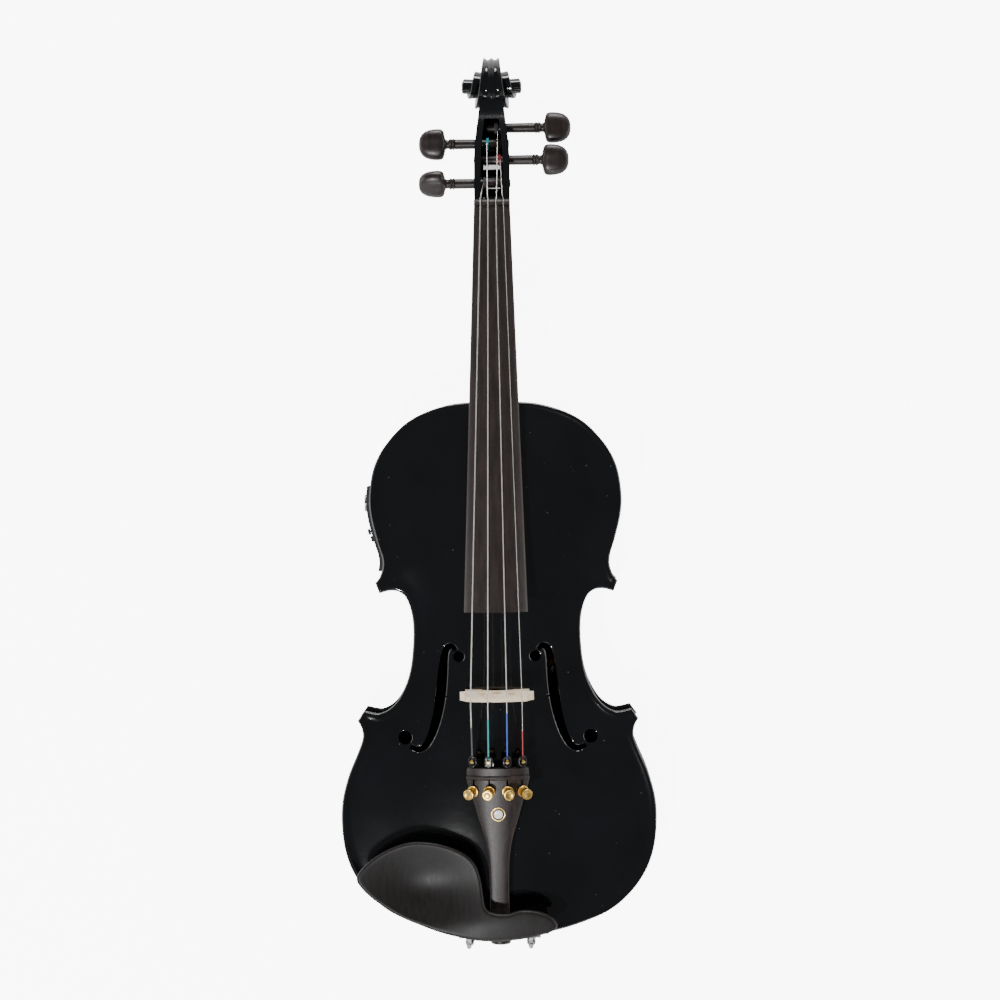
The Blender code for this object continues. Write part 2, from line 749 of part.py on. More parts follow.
def make_strings():
    bridge_y = body_length - stop_length
    nut_y = body_length + neck_length
    for string, radius in string_radii.items():
        clear = gap + radius
        in_box = 3.2 * mm * peg_side[string]
        y, z = head_point(peg_along[string], peg_down[string])
        start = (in_box, y, z + peg_radius + clear)
        x = string_at_nut[string]
        nut_top = board_top(x, nut_y) + nut_rise
        back_nut = (x, nut_y + nut_depth + 0.5 * mm, nut_top - 1.2 * mm + clear)
        over_nut = (x, nut_y + 0.6 * nut_depth, nut_top - 0.2 * mm + clear)
        front_nut = (x, nut_y + 0.2 * mm, nut_top + clear)
        x = string_at_bridge[string]
        half = bridge_foot_thickness / 2
        over = bridge_top(x) + clear
        bridge_front = (x, bridge_y + half, over)
        bridge_back = (x, bridge_y - half, over)
        end = tuner_matrix(string) @ Vector((0, fork_reach() - 0.9 * mm, fork_height()))
        points = [start, back_nut, over_nut, front_nut, bridge_front, bridge_back, tuple(end)]
        wire(f"string_{string}", points, radius, "wound_string")


# Tailpiece
def fret_y():
    return body_length - stop_length - fret_to_bridge


def fret_height():
    return bridge_crown() - afterlength_fall * fret_to_bridge - 0.8 * mm


def tailpiece_slope():
    crest = rib_height + edge_thickness + saddle_rise
    return (fret_height() - crest - tailpiece_over_saddle) / fret_y()


def tailpiece_top(y):
    """Height of the tailpiece's middle line."""
    return fret_height() + tailpiece_slope() * (y - fret_y())


def make_tailpiece():
    nose = fret_y() + tailpiece_nose
    shape = [(0, 18.5), (2, 20.6), (6, 22), (9, 22.2), (14, 20.6), (20, 18.4), (27, 16.2), (33, 14.4),
             (42, 11.4), (50, 9.2), (58, 7.8), (68, 7), (85, 6.7), (99, 6.8), (103.5, 6), (105, 4.6)]
    rings = []
    for back, half in shape:
        y = nose - back * tailpiece_length / 105
        reach = math.asin(half * mm / tailpiece_radius)
        middle = tailpiece_top(y) - tailpiece_radius
        thin = tailpiece_radius - tailpiece_thickness
        turns = np.linspace(-reach, reach, 9)
        ring = [(tailpiece_radius * math.sin(t), y, middle + tailpiece_radius * math.cos(t))
                for t in turns]
        ring += [(thin * math.sin(t), y, middle + thin * math.cos(t)) for t in turns[::-2]]
        rings.append(ring)
    tailpiece = loft("tailpiece", rings, "dark_wood")
    bores = []
    for string in tuner_places:
        bore = rod(f"tuner_bore_{string}", (0, 0, -12 * mm), (0, 0, 12 * mm), screw_radius + 0.6 * mm)
        bores.append(bore)
        bore.matrix_local = tuner_matrix(string)
    boolean(tailpiece, "DIFFERENCE", bores)


def make_fret():
    """The raised strip that the strings pass over."""
    half = 20.5 * mm
    rings = []
    y = fret_y()
    base = tailpiece_top(y) + gap
    for ahead, rise in ((-1.1, 0.5), (-0.5, 1.5), (0.5, 1.5), (1.1, 0.5)):
        middle = base - tailpiece_radius + tailpiece_slope() * ahead * mm
        reach = math.asin(half / tailpiece_radius)
        high = tailpiece_radius + rise * mm
        turns = np.linspace(-reach, reach, 9)
        ring = [(high * math.sin(t), y + ahead * mm, middle + high * math.cos(t)) for t in turns]
        ring += [(tailpiece_radius * math.sin(t), y + ahead * mm,
                  middle + tailpiece_radius * math.cos(t)) for t in turns[::-1]]
        rings.append(ring)
    loft("tailpiece_fret", rings, "dark_wood")


# Fine tuners, drawn about their screw: z along the screw, y toward the bridge
def tuner_matrix(string):
    x = tuner_places[string]
    y = fret_y() - tuner_behind_fret
    lean = math.asin(x / tailpiece_radius)
    slope = math.atan(tailpiece_slope())
    z = tailpiece_top(y) - sagitta(abs(x), tailpiece_radius)
    turn = Matrix.Rotation(slope, 4, "X") @ Matrix.Rotation(lean, 4, "Y")
    return Matrix.Translation((x, y, z)) @ turn


def tuner_front():
    """From the screw to the tailpiece's front edge."""
    return (tailpiece_nose + tuner_behind_fret) / math.cos(math.atan(tailpiece_slope())) + 0.8 * mm


def fork_reach():
    return tuner_front() + 6.6 * mm


def fork_height():
    return 1.4 * mm


def side_shape(name, outline, low, high, finish=None):
    """An outline in y and z, filled from x = low to x = high."""
    made = prism(name, outline, low, high, finish)
    turn = Matrix(((0, 0, 1), (1, 0, 0), (0, 1, 0))).to_4x4()
    made.data.transform(turn)
    return made


def make_tuners():
    under = tailpiece_thickness + 0.75 * mm
    plate_low = under + 1 * mm
    front = tuner_front()
    arm_high = plate_low + screw_up + run_gap
    arm_low = arm_high + 1.4 * mm
    pivot_y = front + 2 * mm
    pivot_z = -4.2 * mm
    wall_inner = 2.2 * mm
    wall_outer = 2.9 * mm
    reach = fork_reach()
    wall = [(front - 3.5 * mm, -arm_high), (front + 4 * mm, -arm_high), (front + 4 * mm, -1.2 * mm),
            (front + 0.1 * mm, -1.2 * mm), (front + 0.1 * mm, -under), (front - 3.5 * mm, -under)]
    arm = [(-2.4 * mm, -arm_low), (front + 2.9 * mm, -arm_low), (front + 3.2 * mm, -0.2 * mm),
           (reach, -0.1 * mm), (reach, fork_height() + 1.2 * mm), (front + 1 * mm, 2.4 * mm),
           (front + 0.7 * mm, -arm_high), (-2.4 * mm, -arm_high)]
    for string in tuner_places:
        place = tuner_matrix(string)
        frame = box(f"tuner_frame_{string}", (-wall_outer, -5 * mm, -plate_low),
                    (wall_outer, front - 0.4 * mm, -under), "black_metal")
        pieces = []
        for side, word in ((-1, "left"), (1, "right")):
            low, high = sorted((side * wall_inner, side * wall_outer))
            pieces.append(side_shape(f"tuner_wall_{string}_{word}", wall, low, high))
        bore = rod(f"frame_bore_{string}", (0, 0, -20 * mm), (0, 0, 0), screw_radius + run_gap)
        boolean(frame, "UNION", pieces)
        boolean(frame, "DIFFERENCE", [bore])
        inner, outer = screw_radius + run_gap, 3.9 * mm
        low, high = gap, 2.3 * mm
        ring = [(inner, high), (outer - 0.3 * mm, high), (outer, high - 0.3 * mm), (outer, low), (inner, low)]
        collar = turned(f"tuner_nut_{string}", ring, "brass", 18, closed=True)
        head_low = high + screw_down + gap
        head_high = head_low + 4.2 * mm
        head = 3.6 * mm
        profile = [(0, head_high), (head - 0.4 * mm, head_high), (head, head_high - 0.4 * mm),
                   (head, head_low + 0.4 * mm), (head - 0.4 * mm, head_low), (screw_radius, head_low),
                   (screw_radius, gap - arm_high), (0, gap - arm_high)]
        screw = turned(f"tuner_screw_{string}", profile, "brass", 16)
        lever = side_shape(f"tuner_lever_{string}", arm, -1.7 * mm, 1.7 * mm, "black_metal")
        slot = box(f"fork_slot_{string}", (-0.8 * mm, front + 3.4 * mm, -3 * mm),
                   (0.8 * mm, reach + 3 * mm, 6 * mm))
        boolean(lever, "DIFFERENCE", [slot])
        pivot = Vector((0, pivot_y, pivot_z))
        for made in (lever, slot):
            made.data.transform(Matrix.Translation(-pivot))
        for made in (frame, *pieces, bore, collar, screw):
            made.matrix_local = place
        for made in (lever, slot):
            made.matrix_local = place @ Matrix.Translation(pivot)


# Tail end
def make_tail_end():
    rise = rib_height + edge_thickness + saddle_rise
    low = rib_height + gap
    depth = saddle_depth()
    shape = [(0.6 * mm, low), (depth, low), (depth, rise - 4.6 * mm), (3.4 * mm, rise - 0.6 * mm),
             (1.4 * mm, rise), (0.6 * mm, rise - 0.8 * mm)]
    side_shape("saddle", shape, -saddle_width / 2, saddle_width / 2, "dark_wood")
    collar, neck, head = 7 * mm, button_neck_radius, 6.8 * mm
    face = overhang - gap
    profile = [(0, 9.2 * mm), (head - 1 * mm, 9.2 * mm), (head, 8.2 * mm), (head, 5.6 * mm),
               (neck, 5.0 * mm), (neck, 1.6 * mm), (collar, 1.2 * mm), (collar, -face),
               (pin_radius(), -face), (pin_radius() - 0.4 * mm, -22 * mm), (0, -22 * mm)]
    button = turned("end_button", profile, "peg_wood", 24)
    turn = Matrix.Rotation(pi / 2, 4, "X")
    button.matrix_local = Matrix.Translation((0, 0, tail_height())) @ turn
    loop = neck + cord_radius + gap
    groove = -3.3 * mm
    end_y = fret_y() + tailpiece_nose - tailpiece_length
    start = [(3.2 * mm, end_y - 2 * gap, tailpiece_top(end_y) - 2.4 * mm),
             (3.6 * mm, 3.2 * mm, rise + 1.4 * mm), (3.8 * mm, 0.6 * mm, rise + 1.3 * mm),
             (4.0 * mm, -1.2 * mm, rise - 0.6 * mm), (4.3 * mm, -1.9 * mm, rise - 4 * mm),
             (loop, groove, tail_height() + 9 * mm)]
    under = [(loop * math.cos(t), groove, tail_height() - loop * math.sin(t))
             for t in np.linspace(0, pi, 9)]
    back = [(-x, y, z) for x, y, z in reversed(start)]
    wire("tail_cord", [*start, *under, *back], cord_radius, "black_plastic")


def chinrest_outline():
    around = [(-93.8, 43.3), (-88, 52), (-76, 60.5), (-62, 66), (-49.9, 66.9), (-36, 64.5), (-23, 59),
              (-15.7, 51.8), (-12.2, 42), (-10.6, 31), (-8.6, 22.5), (-2, 19.6), (6, 19.4),
              (14, 21.4), (24.3, 20.6), (33.5, 17.2), (37.9, 12), (36.4, 7.6), (27.6, 4.4),
              (14.4, 1.8), (0, 0.7), (-15.7, 1.4), (-36.1, 5.9), (-51.2, 11.2), (-66.3, 17.7),
              (-81.4, 27.6), (-90.2, 36)]
    closed = [(x * mm, y * mm) for x, y in around]
    ring = smooth_line([*closed, closed[0]], 8 * mm, before=closed[-1], after=closed[1])
    return [tuple(p) for p in ring[:-1]]


def chinrest_rim():
    return rib_height + edge_thickness + chinrest_rise


def chinrest_surface(x, y):
    """Rim height, less a round hollow for the chin on the left and a soft fall on the right."""
    hollow = ((x + 52 * mm) / (37 * mm)) ** 2 + ((y - 39 * mm) / (25 * mm)) ** 2
    fall = np.clip((x + 5 * mm) / (45 * mm), 0, 1) ** 2
    return chinrest_rim() - cup_depth * np.clip(1 - hollow, 0, 1) ** 1.4 - 4.5 * mm * fall


def make_chinrest():
    shape = bmesh.new()
    bmesh.ops.create_grid(shape, x_segments=18, y_segments=10, size=0.5)
    bmesh.ops.scale(shape, vec=(146 * mm, 78 * mm, 1), verts=shape.verts)
    bmesh.ops.translate(shape, vec=(-26 * mm, 34 * mm, 0), verts=shape.verts)
    upper = list(shape.verts)
    grown = bmesh.ops.extrude_face_region(shape, geom=shape.faces[:], use_keep_orig=True)
    lower = [v for v in grown["geom"] if isinstance(v, bmesh.types.BMVert)]
    for vert in upper:
        vert.co.z = float(chinrest_surface(vert.co.x, vert.co.y))
    for vert in lower:
        vert.co.z = float(chinrest_surface(vert.co.x, vert.co.y)) - chinrest_shell
    body = from_bmesh("chinrest", shape, "peg_wood", smooth=True)
    edge = prism("chinrest_edge", chinrest_outline(), 20 * mm, 90 * mm)
    plate = rib_height + edge_thickness
    feet = []
    for side, word in ((-1, "left"), (1, "right")):
        inner = saddle_width / 2 + 1 * mm
        near, far = sorted((side * inner, side * (inner + 14.5 * mm)))
        low = plate + chinrest_cork + 3 * gap
        high = chinrest_rim() - 4.6 * mm
        feet.append(box(f"chinrest_leg_{word}", (near, 5.2 * mm, low), (far, 12.6 * mm, high)))
    boolean(body, "INTERSECT", [edge])
    boolean(body, "UNION", feet)


def make_clamp():
    """Bracket at the chinrest, turnbuckle barrels, and the foot under the back plate."""
    post = 1.6 * mm
    barrel = 3 * mm
    out = -clamp_out
    plate = rib_height + edge_thickness
    bar_low, bar_high = plate + 10 * mm, plate + 18 * mm
    bracket = box("chinrest_bracket", (-27 * mm, 1.6 * mm, bar_low), (27 * mm, 3.7 * mm, bar_high), "steel")
    foot_high = -edge_thickness - foot_cork - 2 * gap
    foot_low = foot_high - 2 * mm
    foot = box("chinrest_foot", (-27 * mm, -5.8 * mm, foot_low), (27 * mm, 9 * mm, foot_high), "steel")
    barrel_low, barrel_high = 3 * mm, plate + 1 * mm
    upper_posts = []
    lower_posts = []
    for side, word in ((-1, "left"), (1, "right")):
        x = side * clamp_spread
        upper_posts.append(rod(f"upper_post_{word}", (x, out, 27 * mm), (x, out, bar_high - 1 * mm), post))
        upper_posts.append(box(f"upper_lug_{word}", (x - 1.3 * mm, out, bar_low + 1 * mm),
                               (x + 1.3 * mm, 2.6 * mm, bar_high - 2 * mm)))
        lower_posts.append(rod(f"lower_post_{word}", (x, out, foot_high - 1 * mm), (x, out, 14 * mm), post))
        inner = post + run_gap
        ring = [(inner, barrel_high), (barrel - 0.4 * mm, barrel_high), (barrel, barrel_high - 0.4 * mm),
                (barrel, barrel_low + 0.4 * mm), (barrel - 0.4 * mm, barrel_low), (inner, barrel_low)]
        sleeve = turned(f"chinrest_barrel_{word}", ring, "steel", 16, closed=True)
        sleeve.location = (x, out, 0)
    boolean(bracket, "UNION", upper_posts)
    boolean(foot, "UNION", lower_posts)


# Preamp
def left_edge(start, end):
    """The left plate edge between two heights, as points from the tail end upward."""
    upper = section_lines()[2]
    fine = smooth_line([tuple(p) for p in upper], 0.2 * mm)
    kept = fine[(fine[:, 1] > start) & (fine[:, 1] < end)]
    return kept


def panel_body(name, outer, inner, start, end, low, high, finish=None):
    line = left_edge(start, end)
    line = smooth_line([tuple(p) for p in line], 6 * mm)
    return prism(name, mirrored(strip(line, outer, inner), -1), low, high, finish)


def preamp_window():
    start, end = box_start * body_length, panel_end * body_length
    half = panel_height / 2 - box_margin / 2 + gap
    middle = rib_height / 2
    return panel_body("preamp_window", -4 * mm, box_depth + 6 * mm, start - 3 * gap,
                      end - box_margin + 3 * gap, middle - half, middle + half)


def make_preamp():
    start, end = panel_start * body_length, panel_end * body_length
    middle = rib_height / 2
    half = panel_height / 2
    panel = panel_body("preamp_housing", -panel_proud, overhang / 2, start, end,
                       middle - half, middle + half, "black_plastic")
    half = panel_height / 2 - box_margin / 2
    inner = panel_body("preamp_box", 0.5 * mm, box_depth, box_start * body_length,
                       end - box_margin, middle - half, middle + half)
    edge = left_edge(start, end)
    jack_y = jack_place * body_length
    jack_x = -float(np.interp(jack_y, edge[:, 1], edge[:, 0])) - panel_proud
    socket = 4.4 * mm
    bore_ends = [(jack_x + out, jack_y, middle) for out in (-5 * mm, 30 * mm)]
    bore = rod("jack_bore", *bore_ends, socket + 1.5 * gap)
    slots = []
    cap, stem = 3.6 * mm, 1.3 * mm
    for name, rest in slider_rests.items():
        seat = slider_seat()
        height = slider_heights[name] - middle
        slot = box(f"{name}_slot", (-slider_travel / 2 - cap, -stem / 2 - gap, -3.8 * mm),
                   (slider_travel / 2 + cap, stem / 2 + gap, 5 * mm))
        slot.matrix_local = seat @ Matrix.Translation((0, height, 0))
        slots.append(slot)
        # A cap on a stem, drawn along the panel and outward
        wide = cap / 2 + 0.4 * mm
        shape = [(-stem / 2, -3.2 * mm), (stem / 2, -3.2 * mm), (stem / 2, 0.6 * mm),
                 (wide, 0.6 * mm), (cap / 2, 2.4 * mm), (-cap / 2, 2.4 * mm),
                 (-wide, 0.6 * mm), (-stem / 2, 0.6 * mm)]
        slider = prism(name, shape, -stem / 2, stem / 2, "black_plastic")
        turn = Matrix.Rotation(pi / 2, 4, "X")
        slider.matrix_local = seat @ Matrix.Translation((rest, height, 0)) @ turn
    boolean(panel, "UNION", [inner])
    boolean(panel, "DIFFERENCE", [bore, *slots])
    ring = [(jack_bore, 1.4 * mm), (5.6 * mm, 1.4 * mm), (5.6 * mm, gap), (socket, gap), (socket, -9 * mm),
            (jack_bore, -9 * mm)]
    jack = turned("output_jack", ring, "steel", 20, closed=True)
    jack.matrix_local = Matrix.Translation((jack_x, jack_y, middle)) @ Matrix.Rotation(-pi / 2, 4, "Y")


def slider_seat():
    """Frame on the panel's face: x along the panel, y across it (up), z outward."""
    y = slider_centre * body_length
    edge = left_edge(y - 8 * mm, y + 8 * mm)
    middle = edge[len(edge) // 2]
    along = edge[-1] - edge[0]
    along /= np.linalg.norm(along)
    run = Vector((-along[0], along[1], 0))
    up = Vector((0, 0, 1))
    out = run.cross(up)
    out = -out if out.x > 0 else out
    face = Vector((-middle[0], middle[1], rib_height / 2)) + out * panel_proud
    made = Matrix((run, up, out)).transposed().to_4x4()
    return Matrix.Translation(face) @ made


def settle():
    """Tips the violin about X until back plate and scroll both touch the ground, centred on it."""
    bpy.context.view_layer.update()
    graph = bpy.context.evaluated_depsgraph_get()
    clouds = []
    for made in parts.objects:
        if made.type == "EMPTY":
            continue
        flat = made.evaluated_get(graph).to_mesh()
        points = np.empty(len(flat.vertices) * 3)
        flat.vertices.foreach_get("co", points)
        place = np.array(made.matrix_world)
        clouds.append(points.reshape(-1, 3) @ place[:3, :3].T + place[:3, 3])
    cloud = np.vstack(clouds)
    body = cloud[:, 1] < body_length + button_radius
    low, high = 0.0, 0.2
    for _ in range(40):
        tip = (low + high) / 2
        heights = cloud[:, 1] * math.sin(tip) + cloud[:, 2] * math.cos(tip)
        if heights[body].min() < heights[~body].min():
            high = tip
        else:
            low = tip
    turn = Matrix.Rotation(tip, 4, "X")
    placed = cloud @ np.array(turn)[:3, :3].T
    middle = (placed.min(axis=0) + placed.max(axis=0)) / 2
    violin_frame.matrix_world = Matrix.Translation((-middle[0], -middle[1], -placed[:, 2].min())) @ turn
    bpy.context.view_layer.update()


clear_scene()
parts = new_collection("violin")
cutters = new_collection("violin_cutters")
violin_frame = bpy.data.objects.new("violin_frame", None)
parts.objects.link(violin_frame)
make_plates()
make_ribs()
make_blocks()
make_inner_pieces()
make_neck()
make_pegs()
make_fingerboard()
make_nut()
make_bridge()
make_strings()
make_tailpiece()
make_fret()
make_tuners()
make_tail_end()
make_chinrest()
make_clamp()
make_preamp()
settle()
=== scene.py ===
import json
import math

import bmesh
import bpy
import numpy as np
from mathutils import Matrix, Vector, geometry


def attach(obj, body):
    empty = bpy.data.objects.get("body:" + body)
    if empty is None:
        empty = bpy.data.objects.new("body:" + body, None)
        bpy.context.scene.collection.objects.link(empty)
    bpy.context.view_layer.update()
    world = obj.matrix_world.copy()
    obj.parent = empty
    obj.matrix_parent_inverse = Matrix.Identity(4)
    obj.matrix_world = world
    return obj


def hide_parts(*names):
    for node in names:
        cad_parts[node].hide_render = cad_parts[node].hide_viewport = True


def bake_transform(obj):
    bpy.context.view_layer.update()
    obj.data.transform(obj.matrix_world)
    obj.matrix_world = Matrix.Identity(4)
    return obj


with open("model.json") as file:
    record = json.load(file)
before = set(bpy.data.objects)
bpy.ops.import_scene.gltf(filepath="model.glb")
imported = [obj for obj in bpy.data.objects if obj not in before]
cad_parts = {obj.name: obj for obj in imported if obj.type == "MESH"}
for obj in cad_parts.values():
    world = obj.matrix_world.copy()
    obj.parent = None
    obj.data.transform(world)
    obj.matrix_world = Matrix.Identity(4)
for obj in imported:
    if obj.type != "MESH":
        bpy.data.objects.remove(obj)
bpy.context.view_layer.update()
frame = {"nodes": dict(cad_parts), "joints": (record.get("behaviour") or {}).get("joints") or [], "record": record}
nodes = frame["nodes"]
joints = {joint["name"]: joint for joint in frame["joints"]}
mounts = {mount["name"]: mount for mount in frame["record"]["mounts"]}
mm = 0.001
pi = math.pi
strings = ("g", "d", "a", "e")

violin = dict(
    length=356, ribHeight=31, ribThickness=1.3, overhang=3, edge=4,
    topRise=15.5, backRise=15, plate=3, buttonRadius=10.8, clampOut=4.2,
    stop=195, neck=130, neckSlope=0.12, overstand=6.4,
)
nutY = violin["length"] + violin["neck"]
bridgeY = violin["length"] - violin["stop"]
plateTop = violin["ribHeight"] + violin["edge"]

# The violin's own directions and zero point, read from the frame
alongAxis = -np.array(mounts["end_button_face"]["axis"])
acrossAxis = np.array([1.0, 0.0, 0.0])
upAxis = np.cross(acrossAxis, alongAxis)
axes = np.stack([acrossAxis, alongAxis, upAxis])
clampPlaces = [joints[f"clamp_barrel_{side}_turn"]["pos_m"] for side in ("left", "right")]
origin = np.mean(clampPlaces, axis=0) + alongAxis * violin["clampOut"] * mm


def place(points):
    return np.asarray(points, float) * mm @ axes + origin


# Colours and nodes
def linear(code):
    parts = [int(code[k:k + 2], 16) / 255 for k in (1, 3, 5)]
    return (*[p / 12.92 if p <= 0.04045 else ((p + 0.055) / 1.055) ** 2.4 for p in parts], 1)


def addNode(tree, kind, inputs=None, stops=None, **settings):
    made = tree.nodes.new("ShaderNode" + kind)
    for name, value in settings.items():
        setattr(made, name, value)
    if stops:
        ramp = made.color_ramp
        while len(ramp.elements) < len(stops):
            ramp.elements.new(0.5)
        for element, (position, colour) in zip(ramp.elements, stops):
            element.position = position
            element.color = linear(colour) if isinstance(colour, str) else (colour,) * 3 + (1,)
    for name, value in (inputs or {}).items():
        if isinstance(value, bpy.types.NodeSocket):
            tree.links.new(value, made.inputs[name])
        else:
            made.inputs[name].default_value = value
    return made


def startMaterial(name):
    made = bpy.data.materials.new(name)
    made.use_nodes = True
    return made, made.node_tree


def setShader(tree, **sockets):
    shader = tree.nodes["Principled BSDF"]
    names = {name.replace(" ", "").lower(): name for name in shader.inputs.keys()}
    for short, value in sockets.items():
        name = names[short.lower()]
        if isinstance(value, bpy.types.NodeSocket):
            tree.links.new(value, shader.inputs[name])
        else:
            shader.inputs[name].default_value = value


def objectSpace(tree, scale, turn=(0, 0, 0)):
    coords = addNode(tree, "TexCoord")
    turned = addNode(tree, "Mapping", {"Vector": coords.outputs["Object"], "Scale": scale, "Rotation": turn})
    return turned.outputs[0]


def noise(tree, space, detail, scale=1, **more):
    made = addNode(tree, "TexNoise", {"Vector": space, "Scale": scale, "Detail": detail, **more})
    return made.outputs["Fac"]


def ramp(tree, value, *stops):
    return addNode(tree, "ValToRGB", {"Fac": value}, stops).outputs[0]


def mix(tree, share, one, other):
    return addNode(tree, "MixRGB", {"Fac": share, "Color1": one, "Color2": other}).outputs[0]


def relief(tree, height, strength, metres):
    return addNode(tree, "Bump", {"Height": height, "Strength": strength, "Distance": metres}).outputs[0]


def spread(tree, value, low, high):
    return addNode(tree, "MapRange", {"Value": value, "To Min": low, "To Max": high}).outputs[0]


def blackLacquer():
    # Polyester lacquer, sprayed black and buffed: a deep mirror with dust nibs and a faint unevenness
    made, tree = startMaterial("blackLacquer")
    space = objectSpace(tree, (1, 1, 1))
    cloud = noise(tree, space, 3, 26)
    tone = ramp(tree, cloud, (0.3, "#07080A"), (0.7, "#0C0E12"))
    # Dust nibs 0.6 mm across, about one per square centimetre
    nibs = addNode(tree, "TexVoronoi", {"Vector": space, "Scale": 105})
    spots = ramp(tree, nibs.outputs["Distance"], (0.02, 1.0), (0.05, 0.0))
    # Waviness of the film, 12 mm from crest to crest
    wave = noise(tree, space, 2, 85)
    setShader(tree, baseColor=mix(tree, spots, tone, linear("#565C64")), coatWeight=0.3, coatRoughness=0.03,
              roughness=spread(tree, cloud, 0.06, 0.13), normal=relief(tree, wave, 0.05, 0.001))
    return made


def hardwood(name, dark, middle, light, rough, turn=(0, 0, 0), coat=0.0, shine=0.5):
    # Close-grained hardwood stained brown-black and oiled: streaks along the grain and fine pores
    made, tree = startMaterial(name)
    streaks = noise(tree, objectSpace(tree, (420, 16, 420), turn), 5, Roughness=0.6)
    tone = ramp(tree, streaks, (0.3, dark), (0.5, middle), (0.72, light))
    # Pores 0.3 mm wide and 4 mm long
    pores = noise(tree, objectSpace(tree, (2600, 190, 2600), turn), 2)
    holes = ramp(tree, pores, (0.32, 0.0), (0.45, 1.0))
    setShader(tree, baseColor=mix(tree, holes, linear(dark), tone), coatWeight=coat, coatRoughness=0.2,
              specularIorLevel=shine, roughness=spread(tree, streaks, rough - 0.07, rough + 0.09),
              normal=relief(tree, holes, 0.12, 0.0002))
    return made


def bridgeMaple():
    # Quartered maple, scraped and unvarnished: pale, matt, with short orange-brown ray flecks
    made, tree = startMaterial("bridgeMaple")
    space = objectSpace(tree, (900, 900, 260))
    tone = ramp(tree, noise(tree, space, 4, 0.25), (0.3, "#F3DDB9"), (0.7, "#FFF3DE"))
    # Rays 0.4 mm thick and 2 mm long
    rays = noise(tree, space, 1, 1.6)
    flecks = ramp(tree, rays, (0.56, 0.0), (0.66, 0.85))
    setShader(tree, baseColor=mix(tree, flecks, tone, linear("#D9A273")), roughness=0.52,
              normal=relief(tree, rays, 0.08, 0.0002))
    return made


def bareSpruce():
    # Bare spruce from the plane: straight year rings, matt
    made, tree = startMaterial("bareSpruce")
    rings = noise(tree, objectSpace(tree, (900, 18, 900)), 3)
    setShader(tree, baseColor=ramp(tree, rings, (0.35, "#B98F5C"), (0.6, "#DDBE8C")), roughness=0.65,
              normal=relief(tree, rings, 0.1, 0.0003))
    return made


def metalFinish(name, dark, light, rough, grain):
    # Turned or drawn metal under thin plating: fine tool marks break up a sharp reflection
    made, tree = startMaterial(name)
    marks = noise(tree, objectSpace(tree, grain), 3)
    setShader(tree, baseColor=ramp(tree, marks, (0.25, dark), (0.65, light)), metallic=1.0,
              roughness=spread(tree, marks, rough * 0.7, rough * 1.4),
              normal=relief(tree, marks, 0.06, 0.0001))
    return made


def mouldedPlastic(name, dark, light, rough):
    # Moulded plastic or a baked coating: even colour with a fine spark-eroded grain, 0.4 mm
    made, tree = startMaterial(name)
    skin = noise(tree, objectSpace(tree, (2600, 2600, 2600)), 2)
    setShader(tree, baseColor=ramp(tree, skin, (0.3, dark), (0.7, light)),
              roughness=spread(tree, skin, rough - 0.05, rough + 0.08),
              normal=relief(tree, skin, 0.1, 0.0001))
    return made


def woundThread(name, dark, light, rough, metallic, turns):
    # Wire or silk wound round a core: one rib per turn, drawn coarser than the real winding so it shows; its
    # colour is painted shade in the grooves between turns and a painted highlight on each rib's crest
    made, tree = startMaterial(name)
    coords = addNode(tree, "UVMap", uv_map="UVMap")
    space = addNode(tree, "Mapping", {"Vector": coords.outputs[0], "Scale": (0.15, turns, 1)})
    ribs = addNode(tree, "TexWave", {"Vector": space.outputs[0], "Scale": 1, "Distortion": 0.4},
                   bands_direction="Y").outputs["Fac"]
    # Painted shade and highlight: the grooves between turns take the darker colour, the rib crests the lighter one
    setShader(tree, baseColor=ramp(tree, ribs, (0.0, dark), (0.6, light)), roughness=rough,
              metallic=metallic, normal=relief(tree, ribs, 0.25, 0.0001))
    return made


def shellPearl():
    # Polished mother-of-pearl: milky with slow patches of pink and green
    made, tree = startMaterial("motherOfPearl")
    sheen = noise(tree, objectSpace(tree, (420, 420, 420)), 3, Distortion=1.5)
    setShader(tree, baseColor=ramp(tree, sheen, (0.3, "#E9F2EE"), (0.5, "#FFFDFA"), (0.7, "#F8ECEC")),
              roughness=0.18, normal=relief(tree, sheen, 0.03, 0.0002))
    return made


def corkSheet():
    # Agglomerated cork, cut from sheet: brown granules 1 mm across
    made, tree = startMaterial("corkSheet")
    grains = addNode(tree, "TexVoronoi", {"Vector": objectSpace(tree, (1, 1, 1)), "Scale": 1000})
    depth = grains.outputs["Distance"]
    setShader(tree, baseColor=ramp(tree, depth, (0.1, "#C49A6C"), (0.6, "#8A6340")), roughness=0.85,
              normal=relief(tree, depth, 0.3, 0.0002))
    return made


def paintedFloor():
    # Matt painted board, rolled: almost even white
    made, tree = startMaterial("paintedFloor")
    roll = noise(tree, objectSpace(tree, (40, 40, 40)), 4)
    # Seen directly it is lit like a backdrop; what lies on it gets only a little of that light
    seen = addNode(tree, "LightPath").outputs["Is Camera Ray"]
    setShader(tree, baseColor=ramp(tree, roll, (0.3, "#F4F4F3"), (0.7, "#F8F8F7")), roughness=0.9,
              emissionColor=(1, 1, 1, 1),
              emissionStrength=spread(tree, seen, studio["floorGlow"], studio["floorShown"]))
    return made


studio = dict(
    floorGlow=0.5, floorShown=8, floorReach=6, worldLow=0.9, worldHigh=0.14,
    # place, watts, width and height, in metres
    lights=dict(leftBox=((-2.1, 0.1, 0.8), 16, 1.6, 0.8), rightBox=((2.1, 0.1, 0.8), 16, 1.6, 0.8),
                farBox=((0.1, 2.2, 0.8), 42, 1.4, 0.6), nearBox=((0.0, -2.2, 0.9), 14, 1.4, 0.6),
                keyLamp=((-0.5, -1.05, 1.85), 32, 0.16, 0.16)),
)
